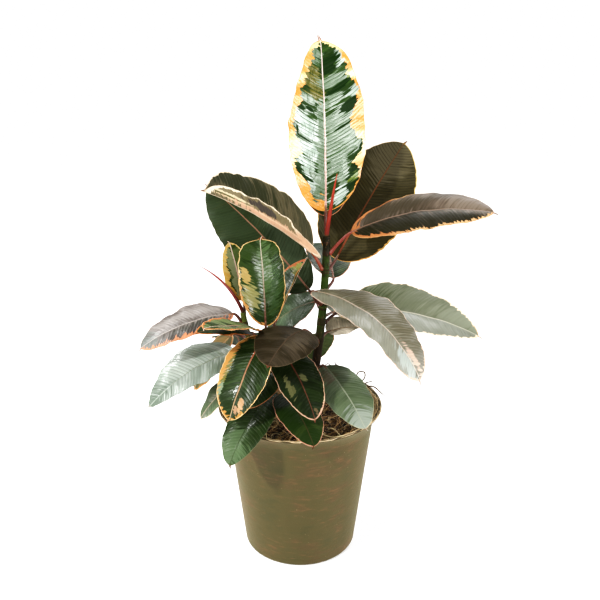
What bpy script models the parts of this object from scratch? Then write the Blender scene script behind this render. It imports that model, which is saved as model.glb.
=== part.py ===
"""Potted tricolor rubber plant: a pot with its fill, three stems, two bud sheaths and every leaf.

Metres, +Z up. The origin is the centre of the pot's flat underside. The plant's front looks
along -Y, so +X is its right and +Y its back. Each leaf is one solid, a thin curved blade joined to
the petiole that carries it. A leaf's azimuth is the compass heading of its blade seen from above:
0 is right, 90 back, 180 left and -90 front. Its rise is the angle above the level.
"""
from collections import namedtuple

import bmesh
import bpy
import numpy as np

MM = 0.001
GAP = 0.0003

# The pot: a plain flared planter with a thin lip
POT_HEIGHT = 0.242
RIM_RADIUS = 0.1275
BASE_RADIUS = 0.088
WALL_SPREAD = 0.029
FLARE_START = 0.212
WALL = 0.0055
LIP = 0.004
FLOOR = 0.010
BASE_ROUND = 0.007
POT_STEPS = 32
FLARE_POINTS = 6
LIP_POINTS = 5
CORNER_POINTS = 4

# The planting mix under its layer of coconut fibre
FILL_TOP = 0.226
FILL_FLAT_RADIUS = 0.060
FILL_EDGE_DROP = 0.006

# Leaf proportions shared by all blades
PETIOLE_RADIUS = 0.0027
PETIOLE_LEAD = 0.25
RIB_RADIUS = 0.0012
RIB_REACH = 0.35
WIDEST_AT = 0.41
BASE_POWER = 0.50
TIP_POWER = 0.60
DRIP_TIP_SHARE = 0.03
DRIP_TIP_HALF_WIDTH = 0.0022
THICKNESS_SHARE = 0.0105
BLADE_START = 0.004
BLADE_CELLS_ALONG = 9
BLADE_CELLS_ACROSS = 4
PETIOLE_POINTS = 5
MIDRIB_STATIONS = 60
RIB_STATIONS = 9

# A stem rises from foot to tip, given as x, y and height above the fill in millimetres.
# Its sideways lean fades with height by the power given, and its radius narrows from foot to tip.
Stem = namedtuple("Stem", "foot tip fade foot_radius tip_radius flare")
STEMS = {
    "main_stem": Stem((15, 12), (39, 12, 282), 1.8, 7.5, 5.2, 4.0),
    "front_shoot_stem": Stem((-12, -4), (-51, -44, 144), 1.2, 5.5, 4.2, 3.0),
    "left_shoot_stem": Stem((-45, 10), (-85, -10, 170), 1.2, 5.5, 4.2, 3.0),
}
STEM_RINGS = 14
RING_CROWDING = 1.5
FLARE_FADE = 0.012
FOOT_STRAIGHT = 4

# A bud sheath is a slim spike on a stem's tip: azimuth, rise, length, radius and how far it bends
Bud = namedtuple("Bud", "stem azimuth rise length radius bend_azimuth bend_rise")
BUDS = {
    "main_bud_sheath": Bud("main_stem", -60, 78, 90, 4.6, 0, 6),
    "left_bud_sheath": Bud("left_shoot_stem", 180, 72, 88, 3.8, 0, 45),
}
BUD_RINGS = 9
BUD_TIP_RADIUS = 0.0006
BUD_TAPER_POWER = 1.6

# One line for each leaf. Its petiole leaves the stem at a height in millimetres above the fill and
# runs by azimuth, rise and length to the blade's base. The blade has its length and width, the
# azimuth and rise it starts with, and how far it droops and turns on its way to the tip. Across, it
# is rolled about its midrib, folded up from it and curled down again towards the margins.
Leaf = namedtuple("Leaf", "stem height petiole size aim bend section")
MAIN, FRONT, LEFT = "main_stem", "front_shoot_stem", "left_shoot_stem"
LEAVES = {
    "leaf_top": Leaf(MAIN, 272, (95, 70, 46), (248, 118), (108, 90), (14, 0), (0, 12, 6)),
    "leaf_back_right_high": Leaf(MAIN, 226, (58, 20, 34), (224, 130), (44, 50), (8, 0), (35, 4, 8)),
    "leaf_right_high": Leaf(MAIN, 254, (0, 42, 50), (214, 98), (-6, 28), (35, -10), (19, 18, 36)),
    "leaf_left_high": Leaf(MAIN, 230, (-160, 52, 38), (186, 116), (-171, 42), (20, 0), (-8, 44, 8)),
    "leaf_back_left_high": Leaf(MAIN, 168, (141, 42, 36), (238, 114), (148, 44), (15, 0), (-35, 0, 12)),
    "leaf_front_right": Leaf(MAIN, 176, (-122, 45, 40), (222, 94), (-33, 5), (70, 0), (2, 10, 10)),
    "leaf_right_middle": Leaf(MAIN, 144, (23, 23, 34), (222, 100), (-11, 13), (40, 0), (19, 15, 12)),
    "leaf_back_middle": Leaf(MAIN, 196, (62, 18, 34), (180, 72), (94, 20), (38, 0), (0, 8, 10)),
    "leaf_front_middle": Leaf(MAIN, 116, (-119, 35, 60), (136, 82), (-112, 18), (40, 0), (-10, 8, 20)),
    "leaf_back_right_low": Leaf(MAIN, 152, (58, -2, 32), (104, 72), (54, -6), (30, 0), (20, 5, 10)),
    "leaf_back_low": Leaf(MAIN, 119, (82, -5, 30), (104, 54), (100, -36), (30, 0), (0, 5, 10)),
    "leaf_back_left_middle": Leaf(MAIN, 148, (108, 40, 34), (108, 74), (162, -18), (40, 0), (-30, 5, 10)),
    "leaf_back_high": Leaf(MAIN, 257, (86, 59, 55), (184, 84), (98, 64), (22, 0), (0, 8, 10)),
    "leaf_back_right_middle": Leaf(MAIN, 120, (46, 12, 18), (110, 56), (34, 4), (30, 0), (20, 8, 12)),
    "leaf_back_left_low": Leaf(MAIN, 64, (140, 0, 36), (136, 74), (146, 6), (50, 0), (0, 8, 12)),
    "leaf_front_right_low": Leaf(MAIN, 60, (-65, 38, 42), (134, 72), (-62, -8), (30, 0), (5, 8, 15)),
    "shoot_leaf_upright": Leaf(FRONT, 132, (100, 72, 27), (133, 72), (117, 88), (10, 0), (-33, 15, 6)),
    "shoot_leaf_right": Leaf(FRONT, 124, (50, 66, 42), (112, 56), (55, 49), (10, 0), (-30, 25, 0)),
    "shoot_leaf_left": Leaf(FRONT, 130, (-125, 56, 39), (106, 58), (-135, 29), (25, 0), (0, 10, 10)),
    "shoot_leaf_left_under": Leaf(FRONT, 119, (-157, 53, 43), (98, 57), (-143, 30), (34, 0), (0, 5, 10)),
    "shoot_leaf_front": Leaf(FRONT, 110, (-103, 54, 58), (134, 80), (-124, -35), (30, 0), (0, 10, 10)),
    "shoot_leaf_front_under": Leaf(FRONT, 94, (-79, 28, 26), (84, 60), (-125, -18), (30, 0), (0, 5, 10)),
    "shoot_leaf_front_low": Leaf(FRONT, 59, (-113, 0, 30), (148, 66), (-116, -4), (40, 0), (0, 8, 12)),
    "shoot_leaf_front_right": Leaf(FRONT, 104, (-69, 47, 48), (126, 72), (-55, -22), (40, 0), (0, 5, 10)),
    "shoot_leaf_front_lowest": Leaf(FRONT, 44, (-89, 23, 48), (118, 64), (-66, 2), (40, 0), (0, 5, 10)),
    "left_leaf_upright": Leaf(LEFT, 154, (98, 66, 32), (92, 50), (126, 71), (10, 0), (0, 10, 10)),
    "left_leaf_long": Leaf(LEFT, 150, (-165, 46, 26), (151, 84), (-161, 4), (38, 0), (-11, 6, 14)),
    "left_leaf_low": Leaf(LEFT, 112, (-128, 8, 36), (156, 92), (-154, -5), (40, 0), (-15, 10, 15)),
    "left_leaf_back_low": Leaf(LEFT, 124, (153, 5, 30), (108, 80), (-161, -38), (30, 0), (0, 5, 10)),
    "left_leaf_lowest": Leaf(LEFT, 76, (-134, -15, 28), (96, 58), (-156, -18), (40, 0), (0, 5, 10)),
    "left_leaf_back": Leaf(LEFT, 104, (125, -5, 36), (136, 76), (102, 4), (50, 0), (0, 8, 12)),
    "left_leaf_back_lowest": Leaf(LEFT, 66, (145, -10, 36), (116, 66), (128, 4), (50, 0), (0, 8, 12)),
}

# Plain colours of the solids
LEAF_COLOUR = (0.045, 0.085, 0.030)
POT_COLOUR = (0.150, 0.115, 0.045)
FILL_COLOUR = (0.160, 0.090, 0.040)
STEM_COLOUR = (0.110, 0.150, 0.040)
BUD_COLOUR = (0.400, 0.040, 0.015)


def heading(azimuth, rise):
    """Unit vectors for azimuths and rises in degrees."""
    turn, lift = np.broadcast_arrays(np.radians(azimuth), np.radians(rise))
    return np.stack([np.cos(lift) * np.cos(turn), np.cos(lift) * np.sin(turn), np.sin(lift)], axis=-1)


def stem_centre(stem, height):
    """The stem's centre line, upright at its foot, then leaning less and less by a power."""
    height = np.asarray(height, float)
    share = np.clip((height - FOOT_STRAIGHT) / (stem.tip[2] - FOOT_STRAIGHT), 0.0, 1.0)
    lean = 1.0 - (1.0 - share) ** stem.fade
    x = stem.foot[0] + (stem.tip[0] - stem.foot[0]) * lean
    y = stem.foot[1] + (stem.tip[1] - stem.foot[1]) * lean
    return np.stack([x * MM, y * MM, FILL_TOP + GAP + height * MM], axis=-1)


def stem_heading(stem, height):
    """The unit direction of the stem's centre line at a height."""
    along = stem_centre(stem, height) - stem_centre(stem, height - 1.0)
    return along / np.linalg.norm(along)


def stem_radius(stem, height):
    """An even taper from foot to tip, and a root flare that dies away just above the fill."""
    height = np.asarray(height, float)
    taper = stem.foot_radius + (stem.tip_radius - stem.foot_radius) * height / stem.tip[2]
    return (taper + stem.flare * np.exp(-height * MM / FLARE_FADE)) * MM


def blade_half_width(share, width):
    """Rises fast from the base, is widest before the middle and narrows to a drip tip."""
    body = np.clip(share / (1.0 - DRIP_TIP_SHARE), 0.0, 1.0)
    outline = (body / WIDEST_AT) ** BASE_POWER * ((1.0 - body) / (1.0 - WIDEST_AT)) ** TIP_POWER
    return np.maximum(width / 2.0 * outline, DRIP_TIP_HALF_WIDTH)


def petiole_line(leaf, count):
    """A quadratic curve from the stem's side to the blade's base, ending in line with the midrib.

    It starts where its flat end clears the stem by the gap, further out the more it leans along it.
    """
    stem = STEMS[leaf.stem]
    azimuth, rise, length = leaf.petiole
    axis = stem_centre(stem, leaf.height)
    along = stem_heading(stem, leaf.height)
    base = axis + heading(azimuth, rise) * length * MM
    lead = base - heading(*leaf.aim) * length * MM * PETIOLE_LEAD
    outward = heading(azimuth, 0.0)
    outward = outward - along * (outward @ along)
    outward = outward / np.linalg.norm(outward)
    radius = stem_radius(stem, leaf.height)
    run = lead - axis - outward * (radius + PETIOLE_RADIUS)
    lean = abs(run @ along) / np.linalg.norm(run)
    start = axis + outward * (radius + GAP + PETIOLE_RADIUS * lean)
    t = np.linspace(0.0, 1.0, count)[:, None]
    return (1.0 - t) ** 2 * start + 2.0 * t * (1.0 - t) * lead + t ** 2 * base


def midrib_line(leaf, count):
    """Points and headings along the midrib, whose rise and azimuth change evenly to the tip."""
    share = np.linspace(0.0, 1.0, count)
    middle = (share[1:] + share[:-1]) / 2.0
    droop, turn = leaf.bend
    step = heading(leaf.aim[0] + turn * middle, leaf.aim[1] - droop * middle)
    run = np.cumsum(step * leaf.size[0] * MM / (count - 1), axis=0)
    points = petiole_line(leaf, 2)[-1] + np.concatenate([np.zeros((1, 3)), run])
    return share, points, leaf.aim[0] + turn * share, leaf.aim[1] - droop * share


def blade_points(leaf, share, across):
    """Points of the blade for shares along it (0 to 1) and across it (-1 to 1)."""
    stations, line, azimuths, rises = midrib_line(leaf, MIDRIB_STATIONS)
    centre = np.stack([np.interp(share, stations, line[:, k]) for k in range(3)], axis=-1)
    azimuth = np.interp(share, stations, azimuths)
    tangent = heading(azimuth, np.interp(share, stations, rises))
    level = heading(azimuth + 90.0, 0.0)
    up = np.cross(tangent, level)
    roll, fold, curl = (np.radians(angle) for angle in leaf.section)
    side = level * np.cos(roll) + up * np.sin(roll)
    normal = up * np.cos(roll) - level * np.sin(roll)
    width = blade_half_width(share, leaf.size[1] * MM)
    reach = np.abs(across)
    bend = max(curl, 1e-4)
    out = (np.sin(fold) - np.sin(fold - bend * reach)) / bend * np.sign(across) * width
    lift = (np.cos(fold - bend * reach) - np.cos(fold)) / bend * width
    return centre + side * out[:, None] + normal * lift[:, None]


def material(name, colour, roughness):
    made = bpy.data.materials.new(name)
    made.use_nodes = True
    shader = made.node_tree.nodes["Principled BSDF"]
    shader.inputs["Base Color"].default_value = (*colour, 1.0)
    shader.inputs["Roughness"].default_value = roughness
    shader.inputs["Metallic"].default_value = 0.0
    return made


def add_object(name, mesh, finish, collection):
    made = bpy.data.objects.new(name, mesh)
    made.data.materials.append(finish)
    collection.objects.link(made)
    return made


def closed_copy(source, name, finish, collection):
    """The evaluated shape of an object as a mesh with its caps welded, in the object's place."""
    bpy.context.view_layer.update()
    evaluated = source.evaluated_get(bpy.context.evaluated_depsgraph_get())
    mesh = bpy.data.meshes.new_from_object(evaluated)
    shape = bmesh.new()
    shape.from_mesh(mesh)
    bmesh.ops.remove_doubles(shape, verts=shape.verts, dist=1e-6)
    shape.to_mesh(mesh)
    shape.free()
    mesh.materials.clear()
    bpy.data.objects.remove(source)
    return add_object(name, mesh, finish, collection)


def tube(name, points, radii, resolution, finish, collection):
    """A bevelled line through the points with a radius at each, made one closed mesh."""
    curve = bpy.data.curves.new(name, "CURVE")
    curve.dimensions = "3D"
    curve.bevel_depth = 1.0
    curve.bevel_resolution = resolution
    curve.use_fill_caps = True
    spline = curve.splines.new("POLY")
    spline.points.add(len(points) - 1)
    for point, place, radius in zip(spline.points, points, radii):
        point.co = (*place, 1.0)
        point.radius = radius
    line = bpy.data.objects.new(name + "_line", curve)
    collection.objects.link(line)
    return closed_copy(line, name, finish, collection)


def turned(name, profile, finish, collection):
    """A profile of radius and height pairs, from the axis round to the axis, turned about +Z."""
    mesh = bpy.data.meshes.new(name)
    edges = [(k, k + 1) for k in range(len(profile) - 1)]
    mesh.from_pydata([(radius, 0.0, height) for radius, height in profile], edges, [])
    made = add_object(name, mesh, finish, collection)
    screw = made.modifiers.new("turn", "SCREW")
    screw.steps = POT_STEPS
    screw.render_steps = POT_STEPS
    screw.use_merge_vertices = True
    screw.merge_threshold = 1e-5
    return made


def pot_radius(height):
    """The outside of the wall: a straight cone that curves out to the rim near its top."""
    share = np.asarray(height, float) / POT_HEIGHT
    straight = BASE_RADIUS + WALL_SPREAD * share
    climb = np.clip((height - FLARE_START) / (POT_HEIGHT - FLARE_START), 0.0, 1.0)
    return straight + (RIM_RADIUS - BASE_RADIUS - WALL_SPREAD) * climb ** 2


def inner_radius(height):
    """The inside of the wall, which thins evenly to the lip over the flare."""
    climb = np.clip((height - FLARE_START) / (POT_HEIGHT - FLARE_START), 0.0, 1.0)
    return pot_radius(height) - WALL - (LIP - WALL) * climb


def make_pot(finish, collection):
    """Up the inside from the floor, over the round lip, down the outside and in under the foot."""
    flare = np.linspace(FLARE_START, POT_HEIGHT - LIP / 2, FLARE_POINTS)
    turn = np.linspace(0.0, np.pi, LIP_POINTS)[1:-1]
    lip_centre = RIM_RADIUS - LIP / 2
    corner = np.linspace(0.0, np.pi / 2, CORNER_POINTS)
    corner_centre = pot_radius(BASE_ROUND) - BASE_ROUND
    profile = [(0.0, FLOOR), (inner_radius(FLOOR), FLOOR)]
    profile += [(inner_radius(z), z) for z in flare]
    profile += [(lip_centre - LIP / 2 * np.cos(a), POT_HEIGHT - LIP / 2 + LIP / 2 * np.sin(a)) for a in turn]
    profile += [(pot_radius(z), z) for z in flare[::-1]]
    profile += [(corner_centre + BASE_ROUND * np.cos(a), BASE_ROUND * (1 - np.sin(a))) for a in corner]
    profile += [(0.0, 0.0)]
    return turned("pot", profile, finish, collection)


def make_fill(finish, collection):
    """The filling, flat in the middle where the stems stand and a little lower at the wall."""
    bottom = FLOOR + GAP
    edge = FILL_TOP - FILL_EDGE_DROP
    low = min(FLARE_START, edge)
    profile = [(0.0, bottom), (inner_radius(bottom) - GAP, bottom)]
    outside = [(inner_radius(z) - GAP, z) for z in (low, edge)]
    profile += outside + [(FILL_FLAT_RADIUS, FILL_TOP), (0.0, FILL_TOP)]
    return turned("fill", profile[::-1], finish, collection)


def make_stem(name, stem, finish, collection):
    """Rings close together in the flare and further apart above it."""
    climb = np.linspace(0.0, 1.0, STEM_RINGS) ** RING_CROWDING
    heights = np.append(0.0, FOOT_STRAIGHT + (stem.tip[2] - FOOT_STRAIGHT) * climb)
    return tube(name, stem_centre(stem, heights), stem_radius(stem, heights), 3, finish, collection)


def make_bud(name, bud, finish, collection):
    """A spike that narrows to a fine tip as it bends over, seated where its foot clears the stem."""
    stem = STEMS[bud.stem]
    share = np.linspace(0.0, 1.0, BUD_RINGS)
    middle = (share[1:] + share[:-1]) / 2.0
    step = heading(bud.azimuth + bud.bend_azimuth * middle, bud.rise - bud.bend_rise * middle)
    run = np.cumsum(step * bud.length * MM / len(middle), axis=0)
    radii = BUD_TIP_RADIUS + (bud.radius * MM - BUD_TIP_RADIUS) * (1.0 - share ** BUD_TAPER_POWER)
    along = stem_heading(stem, stem.tip[2])
    tilt = np.linalg.norm(np.cross(along, step[0]))
    start = stem_centre(stem, stem.tip[2]) + along * (GAP + radii[0] * tilt)
    points = start + np.concatenate([np.zeros((1, 3)), run])
    return tube(name, points, radii, 2, finish, collection)


def make_leaf(name, leaf, finish, collection):
    """A blade from a grid moved by the leaf's formula and thickened, joined to petiole and rib."""
    grid = bmesh.new()
    bmesh.ops.create_grid(grid, x_segments=BLADE_CELLS_ALONG, y_segments=BLADE_CELLS_ACROSS, size=0.5)
    flat = np.array([vertex.co for vertex in grid.verts])
    share = 0.5 - 0.5 * np.cos(np.pi * (flat[:, 0] + 0.5))
    placed = blade_points(leaf, BLADE_START + (1.0 - BLADE_START) * share, 2.0 * flat[:, 1])
    for vertex, place in zip(grid.verts, placed):
        vertex.co = place
    mesh = bpy.data.meshes.new(name)
    grid.to_mesh(mesh)
    grid.free()
    blade = add_object(name, mesh, finish, collection)
    thick = blade.modifiers.new("thickness", "SOLIDIFY")
    thick.thickness = leaf.size[0] * MM * THICKNESS_SHARE
    thick.offset = 0.0

    shares, midrib = midrib_line(leaf, RIB_STATIONS)[:2]
    rib = midrib[(shares > 0) & (shares <= RIB_REACH)]
    points = np.concatenate([petiole_line(leaf, PETIOLE_POINTS), rib])
    radii = np.linspace(PETIOLE_RADIUS, RIB_RADIUS, len(points))
    petiole = tube(name + "_petiole", points, radii, 1, finish, collection)

    join = blade.modifiers.new("join", "BOOLEAN")
    join.operation = "UNION"
    join.object = petiole
    joined = closed_copy(blade, name, finish, collection)
    bpy.data.objects.remove(petiole)
    return joined


def main():
    for old in list(bpy.data.objects):
        bpy.data.objects.remove(old)
    collection = bpy.data.collections.new("potted_rubber_plant")
    bpy.context.scene.collection.children.link(collection)
    make_pot(material("pot_finish", POT_COLOUR, 0.6), collection)
    make_fill(material("fibre", FILL_COLOUR, 0.9), collection)
    bark = material("bark", STEM_COLOUR, 0.6)
    for name, stem in STEMS.items():
        make_stem(name, stem, bark, collection)
    sheath = material("sheath", BUD_COLOUR, 0.35)
    for name, bud in BUDS.items():
        make_bud(name, bud, sheath, collection)
    foliage = material("foliage", LEAF_COLOUR, 0.3)
    for name, leaf in LEAVES.items():
        make_leaf(name, leaf, foliage, collection)


main()
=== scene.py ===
"""Finished looks of the potted tricolor rubber plant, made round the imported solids.

Metres, +Z up, the plant's front looks along -Y. Each solid is replaced by a finer piece that follows
the same rule: leaves as thin veined blades, stems with leaf scars, a turned pot, and a fill covered
in loose coconut fibre.
"""
from collections import namedtuple

import bpy
import mathutils
import numpy as np
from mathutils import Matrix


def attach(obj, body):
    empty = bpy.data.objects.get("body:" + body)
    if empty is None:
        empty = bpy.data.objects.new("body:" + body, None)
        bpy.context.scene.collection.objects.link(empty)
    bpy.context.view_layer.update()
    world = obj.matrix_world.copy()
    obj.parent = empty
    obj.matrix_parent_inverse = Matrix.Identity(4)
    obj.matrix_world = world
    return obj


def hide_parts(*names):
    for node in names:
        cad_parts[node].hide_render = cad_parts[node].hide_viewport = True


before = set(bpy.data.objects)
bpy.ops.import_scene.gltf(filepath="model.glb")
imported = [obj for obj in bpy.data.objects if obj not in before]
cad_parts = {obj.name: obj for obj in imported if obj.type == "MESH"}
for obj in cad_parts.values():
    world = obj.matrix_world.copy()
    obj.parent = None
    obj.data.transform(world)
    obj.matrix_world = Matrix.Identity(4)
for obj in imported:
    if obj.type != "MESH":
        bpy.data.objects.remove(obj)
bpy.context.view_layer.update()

MM = 0.001
BODY = "root"
UPRIGHT = (0.0, 0.0, 1.0)

# Points round a fibre, a curl and a crumb, and the rings along each of them
FIBRE_AROUND, CURL_AROUND, CRUMB_AROUND = 3, 8, 6
FIBRE_RINGS, RIM_FIBRE_RINGS, CURL_RINGS, CRUMB_RINGS = 9, 8, 60, 4

# The pot and its fill, as in the solids
POT_HEIGHT = 0.242
RIM_RADIUS = 0.1275
BASE_RADIUS = 0.088
WALL_SPREAD = 0.029
FLARE_START = 0.212
WALL = 0.0055
LIP = 0.004
FLOOR = 0.010
BASE_ROUND = 0.007
FILL_TOP = 0.226
FILL_FLAT_RADIUS = 0.060
FILL_EDGE_DROP = 0.006
GAP = 0.0003
CENTRE_HOLE = 0.004
POT_AROUND, FILL_AROUND = 160, 150

# Leaf proportions, as in the solids
PETIOLE_RADIUS = 0.0027
PETIOLE_LEAD = 0.25
WIDEST_AT = 0.41
BASE_POWER = 0.50
TIP_POWER = 0.60
DRIP_TIP_SHARE = 0.03
DRIP_TIP_HALF_WIDTH = 0.0022
MIDRIB_STATIONS = 60

# Stems in millimetres: foot and tip, the power of the lean, radii and root flare
Stem = namedtuple("Stem", "foot tip fade foot_radius tip_radius flare")
STEMS = {
    "main_stem": Stem((15, 12), (39, 12, 282), 1.8, 7.5, 5.2, 4.0),
    "front_shoot_stem": Stem((-12, -4), (-51, -44, 144), 1.2, 5.5, 4.2, 3.0),
    "left_shoot_stem": Stem((-45, 10), (-85, -10, 170), 1.2, 5.5, 4.2, 3.0),
}
FLARE_FADE = 0.012
FOOT_STRAIGHT = 4
STEM_START = -4.0
STEM_AROUND = 28
SCAR_HEIGHT, SCAR_HALF_WIDTH = 0.45, 2.6
GROOVE_DEPTH, GROOVE_HALF_WIDTH, GROOVE_ABOVE = 0.25, 0.9, 4.0
BARK_UNEVEN = 0.018

Bud = namedtuple("Bud", "stem azimuth rise length radius bend_azimuth bend_rise")
BUDS = {
    "main_bud_sheath": Bud("main_stem", -60, 78, 90, 4.6, 0, 6),
    "left_bud_sheath": Bud("left_shoot_stem", 180, 72, 88, 3.8, 0, 45),
}
BUD_TIP_RADIUS = 0.0006
BUD_TAPER_POWER = 1.6
BUD_REACH = 1.12
BUD_ROWS, BUD_AROUND = 70, 32
SEAM_START, SEAM_TURNS = 0.35, 0.9
SHEATH_SLIM, SEAM_STEP = 0.66, 0.10

# Where each leaf grows and how it lies, as in the solids: height on its stem, petiole, blade size,
# heading, droop and turn, and the roll, fold and curl of its section
Leaf = namedtuple("Leaf", "stem height petiole size aim bend section")
MAIN, FRONT, LEFT = "main_stem", "front_shoot_stem", "left_shoot_stem"
LEAVES = {
    "leaf_top": Leaf(MAIN, 272, (95, 70, 46), (248, 118), (108, 90), (14, 0), (0, 12, 6)),
    "leaf_back_right_high": Leaf(MAIN, 226, (58, 20, 34), (224, 130), (44, 50), (8, 0), (35, 4, 8)),
    "leaf_right_high": Leaf(MAIN, 254, (0, 42, 50), (214, 98), (-6, 28), (35, -10), (19, 18, 36)),
    "leaf_left_high": Leaf(MAIN, 230, (-160, 52, 38), (186, 116), (-171, 42), (20, 0), (-8, 44, 8)),
    "leaf_back_left_high": Leaf(MAIN, 168, (141, 42, 36), (238, 114), (148, 44), (15, 0), (-35, 0, 12)),
    "leaf_front_right": Leaf(MAIN, 176, (-122, 45, 40), (222, 94), (-33, 5), (70, 0), (2, 10, 10)),
    "leaf_right_middle": Leaf(MAIN, 144, (23, 23, 34), (222, 100), (-11, 13), (40, 0), (19, 15, 12)),
    "leaf_back_middle": Leaf(MAIN, 196, (62, 18, 34), (180, 72), (94, 20), (38, 0), (0, 8, 10)),
    "leaf_front_middle": Leaf(MAIN, 116, (-119, 35, 60), (136, 82), (-112, 18), (40, 0), (-10, 8, 20)),
    "leaf_back_right_low": Leaf(MAIN, 152, (58, -2, 32), (104, 72), (54, -6), (30, 0), (20, 5, 10)),
    "leaf_back_low": Leaf(MAIN, 119, (82, -5, 30), (104, 54), (100, -36), (30, 0), (0, 5, 10)),
    "leaf_back_left_middle": Leaf(MAIN, 148, (108, 40, 34), (108, 74), (162, -18), (40, 0), (-30, 5, 10)),
    "leaf_back_high": Leaf(MAIN, 257, (86, 59, 55), (184, 84), (98, 64), (22, 0), (0, 8, 10)),
    "leaf_back_right_middle": Leaf(MAIN, 120, (46, 12, 18), (110, 56), (34, 4), (30, 0), (20, 8, 12)),
    "leaf_back_left_low": Leaf(MAIN, 64, (140, 0, 36), (136, 74), (146, 6), (50, 0), (0, 8, 12)),
    "leaf_front_right_low": Leaf(MAIN, 60, (-65, 38, 42), (134, 72), (-62, -8), (30, 0), (5, 8, 15)),
    "shoot_leaf_upright": Leaf(FRONT, 132, (100, 72, 27), (133, 72), (117, 88), (10, 0), (-33, 15, 6)),
    "shoot_leaf_right": Leaf(FRONT, 124, (50, 66, 42), (112, 56), (55, 49), (10, 0), (-30, 25, 0)),
    "shoot_leaf_left": Leaf(FRONT, 130, (-125, 56, 39), (106, 58), (-135, 29), (25, 0), (0, 10, 10)),
    "shoot_leaf_left_under": Leaf(FRONT, 119, (-157, 53, 43), (98, 57), (-143, 30), (34, 0), (0, 5, 10)),
    "shoot_leaf_front": Leaf(FRONT, 110, (-103, 54, 58), (134, 80), (-124, -35), (30, 0), (0, 10, 10)),
    "shoot_leaf_front_under": Leaf(FRONT, 94, (-79, 28, 26), (84, 60), (-125, -18), (30, 0), (0, 5, 10)),
    "shoot_leaf_front_low": Leaf(FRONT, 59, (-113, 0, 30), (148, 66), (-116, -4), (40, 0), (0, 8, 12)),
    "shoot_leaf_front_right": Leaf(FRONT, 104, (-69, 47, 48), (126, 72), (-55, -22), (40, 0), (0, 5, 10)),
    "shoot_leaf_front_lowest": Leaf(FRONT, 44, (-89, 23, 48), (118, 64), (-66, 2), (40, 0), (0, 5, 10)),
    "left_leaf_upright": Leaf(LEFT, 154, (98, 66, 32), (92, 50), (126, 71), (10, 0), (0, 10, 10)),
    "left_leaf_long": Leaf(LEFT, 150, (-165, 46, 26), (151, 84), (-161, 4), (38, 0), (-11, 6, 14)),
    "left_leaf_low": Leaf(LEFT, 112, (-128, 8, 36), (156, 92), (-154, -5), (40, 0), (-15, 10, 15)),
    "left_leaf_back_low": Leaf(LEFT, 124, (153, 5, 30), (108, 80), (-161, -38), (30, 0), (0, 5, 10)),
    "left_leaf_lowest": Leaf(LEFT, 76, (-134, -15, 28), (96, 58), (-156, -18), (40, 0), (0, 5, 10)),
    "left_leaf_back": Leaf(LEFT, 104, (125, -5, 36), (136, 76), (102, 4), (50, 0), (0, 8, 12)),
    "left_leaf_back_lowest": Leaf(LEFT, 66, (145, -10, 36), (116, 66), (128, 4), (50, 0), (0, 8, 12)),
}

# Fine detail of a leaf
BLADE_ROW = 1.55 * MM
BLADE_HALF_COLUMNS = 18
BLADE_THICKNESS = 0.8 * MM
VEIN_LEAN = 0.44
VEIN_CURVE = 0.30
VEIN_SPACING = 5.2 * MM
PUCKER_SPACING = 10.0 * MM
# How far apart the slow waves of the puckers, the margin's ripple and the sway lie, in metres
PUCKER_SHIFT, PUCKER_FADE, RIPPLE_LENGTH, SWAY_LENGTH = 0.09, 0.05, 0.11, 0.16
SWAY_HEIGHT = 0.7 * MM
ROW_CROWDING = 0.55
GROOVE_DEEP, GROOVE_HALF = 0.55 * MM, 3.6 * MM
RIB_HIGH, RIB_HALF = 0.50 * MM, 0.9 * MM
RIDGE_RADIUS = 1.9 * MM
RIDGE_SHARE = 0.95
PETIOLE_RUNS_UNDER = 9.0 * MM
TIP_HOOK = 4.0 * MM
HOOK_FROM = 0.94
OUTLINE_WAVER, OUTLINE_WAVES = 0.016, 4.0
LOBE_FADE = 0.06
PETIOLE_ROWS = 26
PETIOLE_AROUND = 14
PETIOLE_THINS = 0.42
PETIOLE_FOOT, PETIOLE_FOOT_FADE = 0.35, 0.06
# The margin's map runs in from the ends of the blade as well as from its sides
END_SHARE, END_START = 0.6, 0.5 * MM

# Noise along the side veins, coarse to fine: pitch along the blade and across it in metres, detail
# and roughness
BROAD_STREAKS = (0.022, 0.060, 2.0)
RAGGED_STREAKS = (0.0042, 0.030, 2.0, 0.6)
FINE_STREAKS = (0.0016, 0.050, 1.0)
VEIN_DARK_HALF = 0.60 * MM
HAIR_VEINS = 4
UNDERSIDE_SHINE = 0.10
DRIP_TIP_FROM, DRIP_TIP_AT = 0.955, 0.985
DRIP_TIP_TINT = (0.56, 0.44, 0.34)
CREASE_APART, CREASE_LONG = 6.0 * MM, 34.0 * MM
MOTTLE_TINT = (0.66, 0.76, 0.62, 1.0)
STALK_GREEN = (150, 132, 84)

# Tints of the top leaf's patches. The silver tint is not a tint of the leaf: it is a painted highlight,
# near-white panels that stand for the reflection in its wet gloss
DEEP, OLIVE, LIME = (20, 44, 8), (104, 96, 40), (96, 114, 28)
PALE, PAINTED_GLOSS = (106, 122, 100), (168, 180, 170)

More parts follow.
